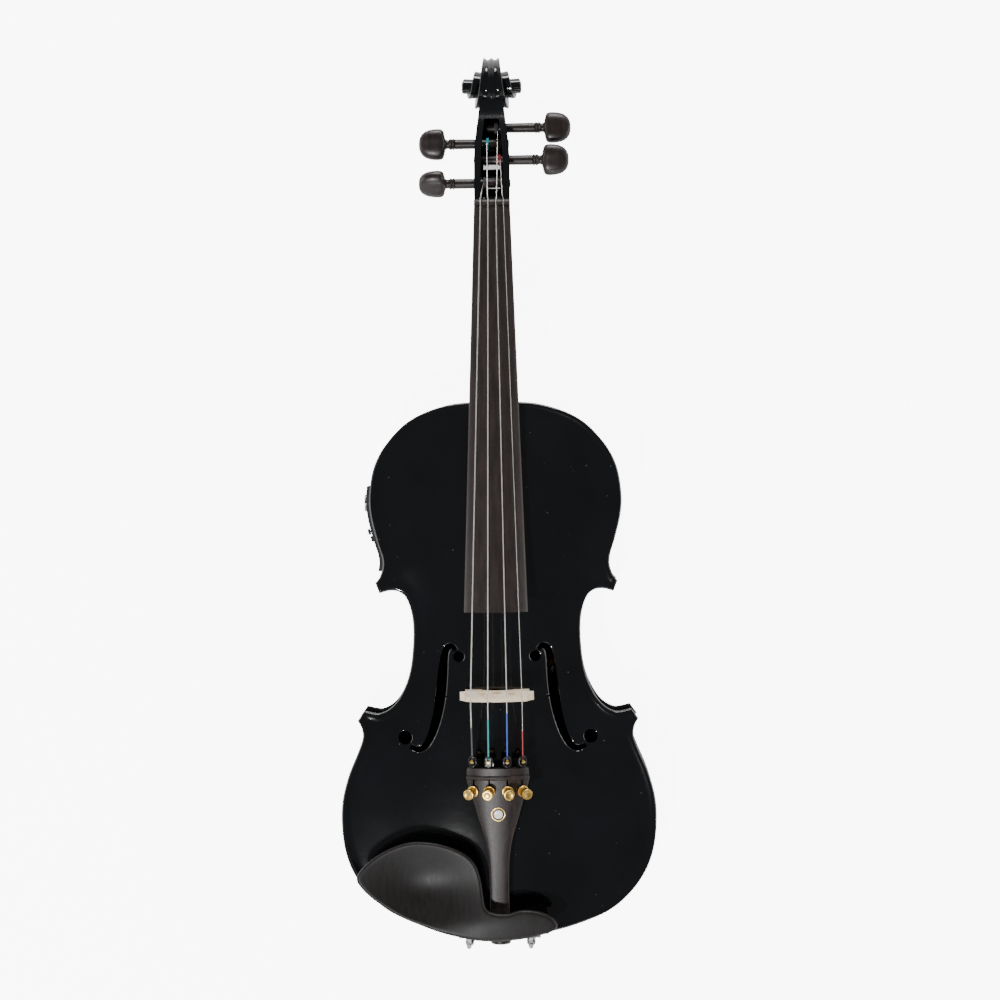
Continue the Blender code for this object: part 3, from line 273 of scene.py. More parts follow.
# Place in the violin's millimetres, turns in degrees
view = dict(place=(33.12, 346.28, 1922.48), tilt=1.6895, swing=-0.9097, roll=0.6556, sensor=36, lens=102.4)
finishes = {
    "blackLacquer": (blackLacquer(), "black_lacquer"),
    "boardWood": (hardwood("boardHardwood", "#171010", "#231A18", "#30241F", 0.42), "dark_wood"),
    "pegWood": (hardwood("pegHardwood", "#140D0C", "#1E1412", "#291B18", 0.38, coat=0.1), "peg_wood"),
    "restWood": (hardwood("restHardwood", "#0C0909", "#110E0D", "#181312", 0.45,
                          turn=(0, 0, pi / 2), shine=0.32), "peg_wood"),
    "bridgeMaple": (bridgeMaple(), "bridge_maple"),
    "spruce": (bareSpruce(), "spruce"),
    "brass": (metalFinish("goldPlatedBrass", "#D9A848", "#F6D27C", 0.3, (2200, 2200, 300)), "brass"),
    "nickel": (metalFinish("nickelPlate", "#8E8E90", "#C9C9CB", 0.22, (300, 300, 2400)), "steel"),
    "blackMetal": (mouldedPlastic("blackOxideSteel", "#0B0B0C", "#19191A", 0.22), "black_metal"),
    "blackPlastic": (mouldedPlastic("mouldedAbs", "#0C0C0D", "#171718", 0.42), "black_plastic"),
    "nylon": (mouldedPlastic("blackNylonCord", "#0D0D0E", "#1B1B1C", 0.45), "black_plastic"),
    "stringWire": (woundThread("woundStringWire", "#8F8C87", "#EDEBE6", 0.28, 1.0, 900), "wound_string"),
    "silkG": (woundThread("silkCharcoal", "#2B2C2F", "#5F6064", 0.6, 0.0, 260), "wound_string"),
    "silkD": (woundThread("silkTurquoise", "#0A7A80", "#18BEC0", 0.6, 0.0, 260), "wound_string"),
    "silkA": (woundThread("silkBlue", "#27419A", "#4E72D8", 0.6, 0.0, 260), "wound_string"),
    "silkE": (woundThread("silkRed", "#97202B", "#E0404B", 0.6, 0.0, 260), "wound_string"),
    "pearl": (shellPearl(), None),
    "cork": (corkSheet(), None),
}
print("materials made:", len(finishes))


# Meshes
def fullTurn(count):
    return np.linspace(0, 2 * pi, count, endpoint=False)


def blunt(values, power):
    # The sign kept and the size raised to a power, which squares a circle
    return np.sign(values) * np.abs(values) ** power


def gridFaces(rows, columns, wrapRows=False, start=0):
    # Quads between neighbouring rings
    r, c = np.meshgrid(np.arange(rows if wrapRows else rows - 1), np.arange(columns), indexing="ij")
    r2, c2 = (r + 1) % rows, (c + 1) % columns
    quads = np.stack([r * columns + c, r2 * columns + c, r2 * columns + c2, r * columns + c2], -1)
    return (quads.reshape(-1, 4) + start).tolist()


def ringSolid(rings, wrapRows=False):
    # Rings of equal count joined in order, each end closed by a fan to its middle
    rings = np.asarray(rings, float)
    rows, columns = rings.shape[:2]
    points = rings.reshape(-1, 3)
    faces = gridFaces(rows, columns, wrapRows)
    if not wrapRows:
        middles = [rings[0].mean(0), rings[-1].mean(0)]
        points = np.vstack([points, middles])
        for middle, first in ((rows * columns, 0), (rows * columns + 1, (rows - 1) * columns)):
            near = np.arange(columns) + first
            faces += np.stack([near, np.roll(near, -1), np.full(columns, middle)], -1).tolist()
    return points, faces


def revolve(profile, steps=48):
    # Each profile point (radius, height) carried round the z axis
    profile = np.asarray(profile, float)
    turns = fullTurn(steps)
    rings = np.stack([profile[:, None, 0] * np.cos(turns), profile[:, None, 0] * np.sin(turns),
                      np.repeat(profile[:, None, 1], steps, 1)], -1)
    closed = np.allclose(profile[0], profile[-1])
    return ringSolid(rings[:-1] if closed else rings, wrapRows=closed)


def sweep(path, radius, sides=16, across=(1, 0, 0), closed=False):
    # A circle carried along a path, square to it, turned so that its first spoke lies near one direction
    path = np.asarray(path, float)
    if closed:
        run = np.roll(path, -1, 0) - np.roll(path, 1, 0)
    else:
        run = np.gradient(path, axis=0)
    run /= np.linalg.norm(run, axis=1)[:, None]
    spoke = np.asarray(across, float) - (run @ np.asarray(across, float))[:, None] * run
    spoke /= np.linalg.norm(spoke, axis=1)[:, None]
    other = np.cross(run, spoke)
    turns = fullTurn(sides)[None, :, None]
    size = np.broadcast_to(np.asarray(radius, float), len(path))[:, None, None]
    rings = path[:, None] + size * (np.cos(turns) * spoke[:, None] + np.sin(turns) * other[:, None])
    return ringSolid(rings, wrapRows=closed)


def together(*solids):
    points, faces, start = [], [], 0
    for some, around in solids:
        points.append(np.asarray(some, float))
        faces += [[index + start for index in face] for face in around]
        start += len(some)
    return np.vstack(points), faces


def shifted(solid, matrix):
    points, faces = solid
    turned = np.array(matrix)
    return np.asarray(points) @ turned[:3, :3].T + turned[:3, 3], faces


def cornerVertices(mesh):
    corners = np.zeros(len(mesh.loops), int)
    mesh.loops.foreach_get("vertex_index", corners)
    return corners


def addPiece(name, solid, finish, body="violin", replaced=(), sharp=40, normals=None, uv=None):
    # Points in the violin's own millimetres become a mesh in the frame; normals are for some vertices only
    points, faces = solid
    mesh = bpy.data.meshes.new(name)
    mesh.from_pydata(place(points).tolist(), [], faces)
    shape = bmesh.new()
    shape.from_mesh(mesh)
    if normals is None:
        bmesh.ops.remove_doubles(shape, verts=shape.verts, dist=0.000002)
    bmesh.ops.recalc_face_normals(shape, faces=shape.faces)
    shape.to_mesh(mesh)
    shape.free()
    mesh.shade_smooth()
    mesh.set_sharp_from_angle(angle=math.radians(sharp))
    if normals is not None:
        counts = np.zeros(len(mesh.polygons), int)
        mesh.polygons.foreach_get("loop_total", counts)
        wanted = np.zeros((len(points), 3))
        vertexNormals, chosenFaces = normals
        wanted[:len(vertexNormals)] = vertexNormals @ axes
        keep = np.repeat(np.arange(len(counts)) < chosenFaces, counts)
        mesh.normals_split_custom_set((wanted[cornerVertices(mesh)] * keep[:, None]).tolist())
    return finishPiece(name, mesh, finish, body, replaced, uv)


def finishPiece(name, mesh, finish, body, replaced=(), uv=None):
    material, slotName = finishes[finish]
    mesh.materials.clear()
    mesh.materials.append(material)
    if uv is not None:
        layer = mesh.uv_layers.new(name="UVMap")
        layer.data.foreach_set("uv", uv[cornerVertices(mesh)].ravel())
    made = bpy.data.objects.new(name, mesh)
    bpy.context.scene.collection.objects.link(made)
    if body:
        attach(made, body)
    if replaced:
        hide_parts(*replaced)
    return made


def carved(name, solid, tools, finish, replaced, sharp=35):
    # A solid less its tools, cut once and kept as a plain mesh
    block = addPiece(name + "Uncut", solid, finish, None)
    cutters = []
    for count, tool in enumerate(tools):
        cutter = addPiece(f"{name}Tool{count}", tool, finish, None)
        step = block.modifiers.new("cut", "BOOLEAN")
        step.operation = "DIFFERENCE"
        step.object = cutter
        cutters.append(cutter)
    bpy.context.view_layer.update()
    mesh = bpy.data.meshes.new_from_object(block.evaluated_get(bpy.context.evaluated_depsgraph_get()))
    for used in [block, *cutters]:
        bpy.data.objects.remove(used, do_unlink=True)
    mesh.name = name
    mesh.shade_smooth()
    mesh.set_sharp_from_angle(angle=math.radians(sharp))
    return finishPiece(name, mesh, finish, "violin", replaced)


def boxSolid(low, high):
    low, high = np.array(low, float), np.array(high, float)
    corners = np.array([(0, 0), (1, 0), (1, 1), (0, 1)])
    square = low[:2] + corners * (high - low)[:2]
    return ringSolid([np.column_stack([square, np.full(4, z)]) for z in (low[2], high[2])])


def throughKnots(knots, steps):
    # A curve from the second knot to the last but one; the knots on either side of each set its slope
    t = np.linspace(0, 1, steps, endpoint=False).reshape(1, -1, *[1] * (knots.ndim - 1))
    a, b, c, d = (knots[k:len(knots) - 3 + k, None] for k in range(4))
    curve = 0.5 * (2 * b + (c - a) * t + (2 * a - 5 * b + 4 * c - d) * t ** 2
                   + (3 * b - a - 3 * c + d) * t ** 3)
    return np.concatenate([curve.reshape(-1, *knots.shape[1:]), knots[-2:-1]])


def smoothLine(points, spacing, before=None, after=None):
    # Even points on that curve
    knots = np.array([points[0] if before is None else before, *points,
                      points[-1] if after is None else after], float)
    curve = throughKnots(knots, 16)
    steps = np.r_[0, np.cumsum(np.linalg.norm(np.diff(curve, axis=0), axis=1))]
    even = np.linspace(0, steps[-1], max(2, round(steps[-1] / spacing)) + 1)
    return np.column_stack([np.interp(even, steps, curve[:, k]) for k in range(curve.shape[1])])


def smoothRings(rings, steps):
    rings = np.asarray(rings, float)
    return throughKnots(np.concatenate([rings[:1], rings, rings[-1:]]), steps)


def insetLoop(loop, distance):
    # A closed line moved inward: each corner slides along the line that halves it
    ahead = np.roll(loop, -1, 0) - loop
    ahead /= np.linalg.norm(ahead, axis=1)[:, None]
    sideways = np.column_stack([-ahead[:, 1], ahead[:, 0]])
    before = np.roll(sideways, 1, 0)
    shared = (before + sideways) / (1 + (before * sideways).sum(1))[:, None]
    return loop + distance * shared


def inside(points, loop):
    # Even-odd rule: how many edges lie to the right of a point
    x, y = points[:, 0, None], points[:, 1, None]
    x1, y1 = loop[:, 0], loop[:, 1]
    x2, y2 = np.roll(x1, -1), np.roll(y1, -1)
    crosses = (y1 > y) != (y2 > y)
    reach = x1 + (y - y1) * (x2 - x1) / np.where(y2 == y1, 1e-9, y2 - y1)
    return (crosses & (x < reach)).sum(1) % 2 == 1


def edgeDistance(points, loop):
    ends = np.roll(loop, -1, 0)
    run = ends - loop
    share = ((points[:, None] - loop) * run).sum(2) / (run ** 2).sum(1)
    nearest = loop + np.clip(share, 0, 1)[..., None] * run
    return np.linalg.norm(points[:, None] - nearest, axis=2).min(1)


def fillLoops(outer, holes, spacing, extra=(), margin=0.7):
    # Triangles inside one loop and outside others, with an even grid of points between
    low, high = outer.min(0), outer.max(0)
    xs = np.arange(low[0] + spacing / 2, high[0], spacing)
    ys = np.arange(low[1] + spacing / 2, high[1], spacing * 0.87)
    gx, gy = np.meshgrid(xs, ys)
    gx[::2] += spacing / 2
    grid = np.column_stack([gx.ravel(), gy.ravel()])
    grid = grid[inside(grid, outer)]
    grid = grid[edgeDistance(grid, outer) > spacing * margin]
    points, edges = [], []
    count = 0
    for loop in (outer, *holes):
        index = np.arange(len(loop)) + count
        edges += np.stack([index, np.roll(index, -1)], -1).tolist()
        points.append(loop)
        count += len(loop)
    for some in extra:
        points.append(some)
    near = np.vstack(points)
    if len(holes) or len(extra):
        gaps = np.full(len(grid), 1e9)
        for loop in [*holes, *extra]:
            gaps = np.minimum(gaps, np.linalg.norm(grid[:, None] - loop, axis=2).min(1))
        grid = grid[gaps > spacing * 0.45]
    everything = np.vstack([near, grid])
    found = geometry.delaunay_2d_cdt([Vector(p) for p in everything.tolist()], edges, [], 0, 0.0001)
    flat = np.array([tuple(v) for v in found[0]])
    triangles = np.array([f for f in found[2] if len(f) == 3])
    middles = flat[triangles].mean(1)
    keep = inside(middles, outer)
    for loop in holes:
        keep &= ~inside(middles, loop)
    triangles = triangles[keep]
    used, triangles = np.unique(triangles, return_inverse=True)
    triangles = triangles.reshape(-1, 3)
    flat = flat[used]
    a, b, c = (flat[triangles[:, k]] for k in range(3))
    wrong = np.cross(b - a, c - a) < 0
    triangles[wrong] = triangles[wrong][:, ::-1]
    return flat, triangles


def openEdges(triangles):
    edges = np.vstack([triangles[:, [0, 1]], triangles[:, [1, 2]], triangles[:, [2, 0]]])
    count = triangles.max() + 1
    keys = edges[:, 0] * count + edges[:, 1]
    opposite = edges[:, 1] * count + edges[:, 0]
    return edges[~np.isin(keys, opposite)]


def slab(flat, triangles, high, low):
    # The same triangles at two heights, with a wall along every open edge
    count = len(flat)
    points = np.vstack([np.column_stack([flat, high]), np.column_stack([flat, low])])
    edges = openEdges(triangles)
    wall = np.column_stack([edges[:, 1], edges[:, 0], edges[:, 0] + count, edges[:, 1] + count])
    faces = triangles.tolist() + (triangles[:, ::-1] + count).tolist() + wall.tolist()
    return points, faces


# Outline of the body, tail end to neck, half of it
lowerBout = [(0, 0), (18, 0.7), (36.3, 2.7), (54.7, 8), (73, 16), (86.7, 27.3), (96.6, 40.7),
             (102.4, 55), (105, 72), (104.6, 90), (100.3, 107.3), (93.4, 124), (90.4, 133),
             (91, 139.3), (93.7, 144.4)]
waistLine = [(88.9, 151), (83, 149.6), (78.2, 149.3), (71.8, 152.4), (66.1, 158.7), (60.2, 170.7),
             (57.1, 184), (55.7, 202.7), (56.8, 216), (60.2, 226), (65, 230.2), (71, 231), (78, 229.2)]
upperBout = [(80.8, 236.3), (78, 239.6), (75.6, 247), (76.1, 254), (79.6, 265.5), (83.3, 280.7),
             (84, 294), (81.5, 310.7), (75.5, 324), (65.9, 336), (56.5, 344), (44.4, 350),
             (29.3, 354.4), (15, 355.8), (0, 356)]
archHalfWidths = [(0, 2), (10, 55), (30, 88), (80, 104.5), (120, 96), (150, 76), (175, 61),
                  (205, 55.5), (230, 60), (250, 70), (275, 80), (300, 84), (325, 76), (345, 50),
                  (356, 2)]
archCurve = smoothLine(archHalfWidths, 2)


def boutLines():
    lowBefore = (-lowerBout[1][0], lowerBout[1][1])
    upAfter = (-upperBout[-2][0], upperBout[-2][1])
    lines = (smoothLine(lowerBout, 2.2, before=lowBefore), smoothLine(waistLine, 1.8),
             smoothLine(upperBout, 2.2, after=upAfter))
    # The finished edge is scraped a tenth of a millimetre inside the drawn line
    return [line * (0.9988, 1) for line in lines]


def plateLoop(withButton=False):
    half = np.vstack(boutLines())
    if withButton:
        radius = violin["buttonRadius"]
        half = half[(half[:, 1] < violin["length"] * 0.9) | (half[:, 0] > radius * 1.08)]
        turns = np.linspace(0, pi / 2, 14)
        arc = np.column_stack([radius * np.cos(turns), violin["length"] + radius * np.sin(turns)])
        half = np.vstack([half, arc])
    return np.vstack([half, half[-2:0:-1] * (-1, 1)])


def arching(flat):
    # 0 at the edge, 1 at the crown: a cosine across, a flat-topped rise along
    half = np.interp(flat[:, 1], archCurve[:, 0], archCurve[:, 1])
    across = np.clip(np.abs(flat[:, 0]) / half, 0, 1)
    share = np.clip(flat[:, 1] / violin["length"], 0, 1)
    return (0.5 + 0.5 * np.cos(pi * across)) * (1 - np.abs(2 * share - 1) ** 3)


fHole = dict(
    line=[(27.3, 191.6, 1.4), (30, 194.2, 1.8), (33.4, 192.6, 2.2), (35.2, 186.5, 2.6),
          (36.2, 177, 3.1), (37.2, 166, 3.3), (38.8, 154.5, 3.2), (41.2, 144, 2.9),
          (44.4, 134.6, 2.5), (48.6, 127.6, 2.1), (53.4, 125.4, 1.9), (58.2, 127.6, 1.5)],
    rounds=[(25.3, 187.3, 3.7), (61.6, 133.2, 4.6)],
    nicks=[(33.4, 160.6, 2.2), (41.6, 159.4, -2.2)],
    rounding=0.7, drop=0.45,
)


def fLoops(side, grow=0.0):
    line = smoothLine(fHole["line"], 1.6)
    run = np.gradient(line[:, :2], axis=0)
    run /= np.linalg.norm(run, axis=1)[:, None]
    beside = np.column_stack([-run[:, 1], run[:, 0]]) * (line[:, 2:3] + grow)
    loops = [np.vstack([line[:, :2] + beside, (line[:, :2] - beside)[::-1]])]
    turns = fullTurn(28)
    circle = np.column_stack([np.cos(turns), np.sin(turns)])
    loops += [(x, y) + (radius + grow) * circle for x, y, radius in fHole["rounds"]]
    if not grow:
        loops += [np.array([(x, y + 1.0), (x, y - 1.0), (x + deep, y)]) for x, y, deep in fHole["nicks"]]
    return [loop * (side, 1) for loop in loops]


def fDistance(flat):
    # From a point to the nearest f-hole, less than 0 inside it
    line = smoothLine(fHole["line"], 2.4)
    sided = np.column_stack([np.abs(flat[:, 0]), flat[:, 1]])
    starts, ends = line[:-1], line[1:]
    run = (ends - starts)[:, :2]
    share = np.clip(((sided[:, None] - starts[:, :2]) * run).sum(2) / (run ** 2).sum(1), 0, 1)
    nearest = starts[:, :2] + share[..., None] * run
    width = starts[:, 2] + share * (ends - starts)[:, 2]
    found = (np.linalg.norm(sided[:, None] - nearest, axis=2) - width).min(1)
    for x, y, radius in fHole["rounds"]:
        found = np.minimum(found, np.hypot(sided[:, 0] - x, sided[:, 1] - y) - radius)
    return found


def plateOuter(flat, loop, rise, pierced):
    # Edge height, a shallow channel 4 mm in from the crest, then the arching
    margin = edgeDistance(flat, loop)
    beyond = np.clip(margin - edgeProfile["crest"], 0, None) / 4
    channel = edgeProfile["channel"] * beyond * np.exp(1 - beyond)
    height = violin["edge"] - channel + arching(flat) * (rise - violin["edge"])
    if pierced:
        share = np.clip(1 - fDistance(flat) / fHole["rounding"], 0, 1)
        height -= fHole["drop"] * share ** 2
    return height


def plateInner(flat, rise):
    return np.maximum(0, arching(flat) * (rise - violin["plate"] + 1) - 1)


def topHeight(x, y):
    # The top plate's outside over the ribs, at one place
    return float(plateOuter(np.array([[x, y]]), plateLoop(), violin["topRise"], False)[0])


edgeProfile = dict(
    crest=2.6, channel=0.75,
    # how far in from the outline, and how high over the ribs
    round=[(2.6, 0.0), (0.9, 0.0), (0.42, 0.18), (0.12, 0.62), (0, 1.35), (0, 2.2), (0.12, 2.85),
           (0.45, 3.4), (0.95, 3.76), (1.6, 3.94), (2.6, 4.0)],
)


def plate(name, loop, base, side, rise, holes, replaced, spacing):
    crest = edgeProfile["crest"]
    inner = insetLoop(loop, crest)
    extra = []
    if holes:
        extra = [p for s in (-1, 1) for p in fLoops(s, fHole["rounding"])]
        extra += [p for s in (-1, 1) for p in fLoops(s, fHole["rounding"] / 2)[:1]]
    flat, triangles = fillLoops(inner, holes, spacing, extra)
    high = plateOuter(flat, loop, rise, bool(holes))
    low = plateInner(flat, rise)
    count = len(flat)
    step = 0.05
    slopes = []
    for offset in ((step, 0), (0, step)):
        ahead = plateOuter(flat + offset, loop, rise, bool(holes))
        behind = plateOuter(flat - offset, loop, rise, bool(holes))
        slopes.append((ahead - behind) / (2 * step))
    normals = np.column_stack([-slopes[0], -slopes[1], np.ones(count)])
    normals /= np.linalg.norm(normals, axis=1)[:, None]
    normals[:, 2] *= side
    points = [np.column_stack([flat, base + side * high]), np.column_stack([flat, base + side * low])]
    edges = openEdges(triangles)
    outerRing = edgeDistance(flat[edges].mean(1), inner) < 0.01
    wall = edges[~outerRing]
    wallFaces = np.column_stack([wall[:, 1], wall[:, 0], wall[:, 0] + count, wall[:, 1] + count])
    # The rounded rim, a profile carried round the outline
    rows = []
    for inset, height in edgeProfile["round"]:
        rows.append(np.column_stack([insetLoop(loop, inset), np.full(len(loop), base + side * height)]))
    rim = np.concatenate(rows)
    rimFaces = gridFaces(len(rows), len(loop), start=2 * count)
    solid = np.vstack([*points, rim]), (triangles.tolist() + (triangles[:, ::-1] + count).tolist()
                                        + wallFaces.tolist() + rimFaces)
    return weldedPlate(name, solid, (normals, len(triangles)), replaced)


def weldedPlate(name, solid, normals, replaced):
    points, faces = solid
    # Rim and faces share their edge points: later ones take the earlier one's number
    keys = np.round(points / 0.004).astype(np.int64)
    _, first, inverse = np.unique(keys, axis=0, return_index=True, return_inverse=True)
    target = first[inverse.ravel()]
    joined = [[int(target[i]) for i in face] for face in faces]
    used = np.unique(target)
    newIndex = np.full(len(points), -1)
    newIndex[used] = np.arange(len(used))
    joined = [[int(newIndex[i]) for i in face] for face in joined]
    vertexNormals = np.zeros((len(points), 3))
    vertexNormals[:len(normals[0])] = normals[0]
    return addPiece(name, (points[used], joined), "blackLacquer", replaced=replaced,
                    normals=(vertexNormals[used], normals[1]), sharp=42)


def makePlates():
    holes = [loop for side in (-1, 1) for loop in fLoops(side)]
    plate("topPlate", plateLoop(), violin["ribHeight"], 1, violin["topRise"], holes, ["top_plate"], 2.6)
    plate("backPlate", plateLoop(True), 0, -1, violin["backRise"], [], ["back_plate"], 3.4)


makePlates()
print("plates made")


def makeRibs():
    # Strips bent round the block corners: the plates' outline moved in by the overhang
    half = np.vstack(boutLines())
    counts = [len(line) for line in boutLines()]
    loop = plateLoop()
    lines = np.stack([insetLoop(loop, inset)[:len(half)]
                      for inset in (violin["overhang"], violin["overhang"] + violin["ribThickness"])])
    heel = violin["buttonRadius"] - 0.3
    starts = [0, counts[0], counts[0] + counts[1]]
    atHeel = np.where((np.arange(len(half)) >= starts[2]) & (lines[0, :, 0] > heel))[0][-1] + 1
    for name, start, end in zip(("lower", "waist", "upper"), starts, [*starts[1:], atHeel]):
        # A rib starts and ends at the blunt corner's middle
        part = lines[:, start:end]
        if name != "lower":
            part = np.concatenate([lines[:, start - 1:start + 1].mean(1, keepdims=True), part], 1)
        last = lines[:, end - 1:end + 1].mean(1, keepdims=True)
        if name == "upper":
            # The last strip runs in under the heel, which narrows towards the button
            stopAt = heel - 0.25
            last = [[(stopAt, np.interp(-stopAt, -line[start:, 0], line[start:, 1]))] for line in lines]
        outer, inner = np.concatenate([part, last], 1)
        high = violin["ribHeight"]
        rings = np.stack([np.column_stack([line, np.full(len(line), z)])
                          for line, z in ((outer, 0), (outer, high), (inner, high), (inner, 0))], 1)
        for side, word in ((-1, "left"), (1, "right")):
            solid = ringSolid(rings * (side, 1, 1))
            node = f"rib_{name}_{word}"
            piece = "rib" + name.capitalize() + word.capitalize()
            if name == "upper" and side < 0:
                # Cut through behind the preamp's panel
                window = boxSolid(panelHole["low"], panelHole["high"])
                carved(piece, solid, [window], "blackLacquer", replaced=[node], sharp=30)
            else:
                addPiece(piece, solid, "blackLacquer", replaced=[node], sharp=30)


# Neck
neckShape = dict(
    # ahead of the body's end, height of the underside
    heel=[(-6, 0.3), (4, 0.3), (8, 1.2), (11.5, 7), (14.5, 14), (18.5, 20), (25, 24.6), (34, 27)],
    buttonTo=12, heelTo=34, beforeNut=10, depth=12.6, thinning=2.4,
)
panelHole = dict(low=(-92, 266, 5.5), high=(-60, 294, 25.5))
board = dict(length=268, nutWidth=24, endWidth=42, radius=42, edge=5)
head = dict(
    pegAlong=dict(g=16, e=32, d=43.5, a=54.5), pegDown=dict(g=10.5, e=15.5, d=19, a=22.5),
    pegSide=dict(g=-1, e=1, d=-1, a=1), wall=4.4, boreRadius=3.7,
    # along the glue plane from the nut, down to the top, down to the back, half width
    pegbox=[(2, 0, 14, 11.8), (11, 0.8, 18.5, 11.9), (22, 2.6, 24, 11.9), (34, 5, 30.5, 11.8),
            (46, 8, 36.5, 11), (57, 11, 41, 9.6), (66, 14.3, 44.5, 8.6), (74, 15.6, 46.5, 7.8)],
    cavity=[(5, 11.7, 12), (12, 11.8, 15), (20, 11.8, 19), (34, 11.6, 25.5), (48, 10.6, 32),
            (60, 9.2, 36)],
)
scroll = dict(
    along=83, down=27, turns=2.55, startTurn=-0.36, shrink=0.62, radius=20, eyeRadius=4.4, eyeReach=20.3,
    # turn of the ribbon, half its width
    halfWidths=[(-0.5, 8.6), (-0.25, 6.4), (0, 5.3), (0.25, 7.8), (0.5, 11.5), (0.75, 11.3),
                (1, 11.2), (1.25, 13.4), (1.5, 15.9), (1.75, 17.6), (2, 19), (2.3, 20)],
    flute=1.5, gouge=1.3, chamfer=0.5,
)


def gluePlane(y):
    return plateTop + violin["overstand"] - violin["neckSlope"] * (y - violin["length"])


def headPoint(along, down):
    y = nutY + along
    return y, gluePlane(y) - down


def sagitta(half, radius):
    return radius - np.sqrt(np.maximum(0, radius ** 2 - np.asarray(half, float) ** 2))


def boardHalfWidth(y):
    share = (nutY - y) / board["length"]
    return (board["nutWidth"] + (board["endWidth"] - board["nutWidth"]) * share) / 2


def boardTop(x, y):
    crown = gluePlane(y) + board["edge"] + sagitta(boardHalfWidth(y), board["radius"])
    return crown - sagitta(x, board["radius"])


def dRing(y, half, narrow, top, bottom, roundness):
    # Flat above; below, the curve |x|^n + |z|^n = 1
    turns = np.linspace(0, pi, 40)
    down = np.sin(turns) ** (2 / roundness)
    width = half + (narrow - half) * down
    return np.column_stack([width * blunt(np.cos(turns), 2 / roundness), np.full(40, y),
                            top - (top - bottom) * down])


def makeNeck():
    length = violin["length"]
    rings = []
    for ahead, bottom in neckShape["heel"]:
        y = length + ahead
        half = boardHalfWidth(y)
        narrow = violin["buttonRadius"] if ahead < neckShape["buttonTo"] else half
        rings.append(dRing(y, half, narrow, gluePlane(y), bottom, 3))
    shaft = violin["neck"] - neckShape["heelTo"] - neckShape["beforeNut"]
    for share in np.linspace(0.15, 1, 5):
        y = length + neckShape["heelTo"] + shaft * share
        half = boardHalfWidth(y)
        under = gluePlane(y) - (neckShape["depth"] - neckShape["thinning"] * share)
        rings.append(dRing(y, half, half, gluePlane(y), under, 2.2))
    for along, down, deep, half in head["pegbox"]:
        y, top = headPoint(along, down)
        rings.append(dRing(y, half, half, top, headPoint(along, deep)[1], 4))
    solid = ringSolid(smoothRings(rings, 6))
    cavity = []
    for along, outer, floor in head["cavity"]:
        half = outer - head["wall"]
        y, low = headPoint(along, floor)
        turns = np.linspace(0, pi, 14)
        under = np.column_stack([half * blunt(np.cos(turns), 0.4), np.full(14, y),
                                 low + 3 - 3 * np.sin(turns) ** 0.5])
        cavity.append(np.vstack([[(half, y, low + 60)], under, [(-half, y, low + 60)]]))
    tools = [ringSolid(smoothRings(cavity, 4))]
    for string in strings:
        y, z = headPoint(head["pegAlong"][string], head["pegDown"][string])
        tools.append(sweep([(-20, y, z), (20, y, z)], head["boreRadius"], 24, across=(0, 1, 0)))
    carved("neck", solid, tools, "blackLacquer", replaced=["neck"], sharp=35)


def makeScroll():
    # A fluted ribbon wound into a spiral: radius falls by a fixed share each turn, width grows
    centreY, centreZ = headPoint(scroll["along"], scroll["down"])
    turn = np.linspace(scroll["startTurn"], scroll["turns"], 230)
    outer = scroll["radius"] * np.exp(-scroll["shrink"] * np.maximum(turn, 0))
    inner = scroll["radius"] * np.exp(-scroll["shrink"] * (turn + 1)) - 0.5
    inner = np.where(turn > scroll["turns"] - 1.1, np.maximum(0.4, inner * 0.4), inner)
    widths = smoothLine(scroll["halfWidths"], 0.05)
    half = np.interp(turn, widths[:, 0], widths[:, 1])
    chamfer = scroll["chamfer"]
    outline = []
    # Outer face: two hollows with a ridge between
    for share in np.linspace(-1, 1, 25):
        hollow = scroll["flute"] * np.abs(np.sin(pi * share)) ** 1.2
        hollow = hollow * np.clip(outer / scroll["radius"], 0.25, 1)
        outline.append((share * (half - chamfer), outer - hollow))
    # Cheek: chamfer, then a hollowed face down to the next turn
    cheek = []
    for share in (0.0, 0.15, 0.35, 0.6, 0.85, 1.0):
        drop = scroll["gouge"] * np.sin(pi / 2 * share) ** 0.8
        cheek.append((half - drop, outer - chamfer - share * (outer - chamfer - inner)))
    outline += cheek
    outline += [(-x, r) for x, r in cheek[::-1]]
    across = np.stack([x for x, r in outline], 1)
    reach = np.stack([r for x, r in outline], 1)
    angle = (turn * 2 * pi)[:, None]
    # down is along -z, so the ribbon starts at the back, passes the end, the front and the throat
    points = np.stack([across, centreY + reach * np.cos(angle), centreZ + reach * np.sin(angle)], -1)
    ribbon = ringSolid(points)
    eye = scroll["eyeRadius"]
    far = scroll["eyeReach"]
    end = [(eye, far - 1.3), (eye * 0.9, far - 0.5), (eye * 0.55, far), (0, far)]
    knob = revolve([*[(r, -h) for r, h in end[::-1]], *end], 40)
    turned = Matrix.Translation((0, centreY, centreZ)) @ Matrix.Rotation(pi / 2, 4, "Y")
    addPiece("scroll", together(ribbon, shifted(knob, turned)), "blackLacquer", replaced=["neck"], sharp=38)


def makeFingerboard():
    rings = []
    ys = np.linspace(nutY - 0.3, nutY - board["length"], 40)
    for y in ys:
        half = float(boardHalfWidth(y))
        xs = half * np.sin(np.linspace(-pi / 2, pi / 2, 33))
        edge = 0.5 * np.clip((np.abs(xs) / half - 0.96) / 0.04, 0, 1) ** 2
        top = np.column_stack([xs, np.full(33, y), boardTop(xs, y) - edge])
        low = gluePlane(y) + 0.15
        hollow = 1.8 * np.clip((violin["length"] - 4 - y) / 14, 0, 1)
        turns = np.linspace(1, -1, 13)
        below = np.column_stack([turns * (half - 0.2), np.full(13, y),
                                 low + hollow * (1 - turns ** 2)])
        rings.append(np.vstack([top, below]))
    addPiece("fingerboard", ringSolid(rings), "boardWood", replaced=["fingerboard"], sharp=50)


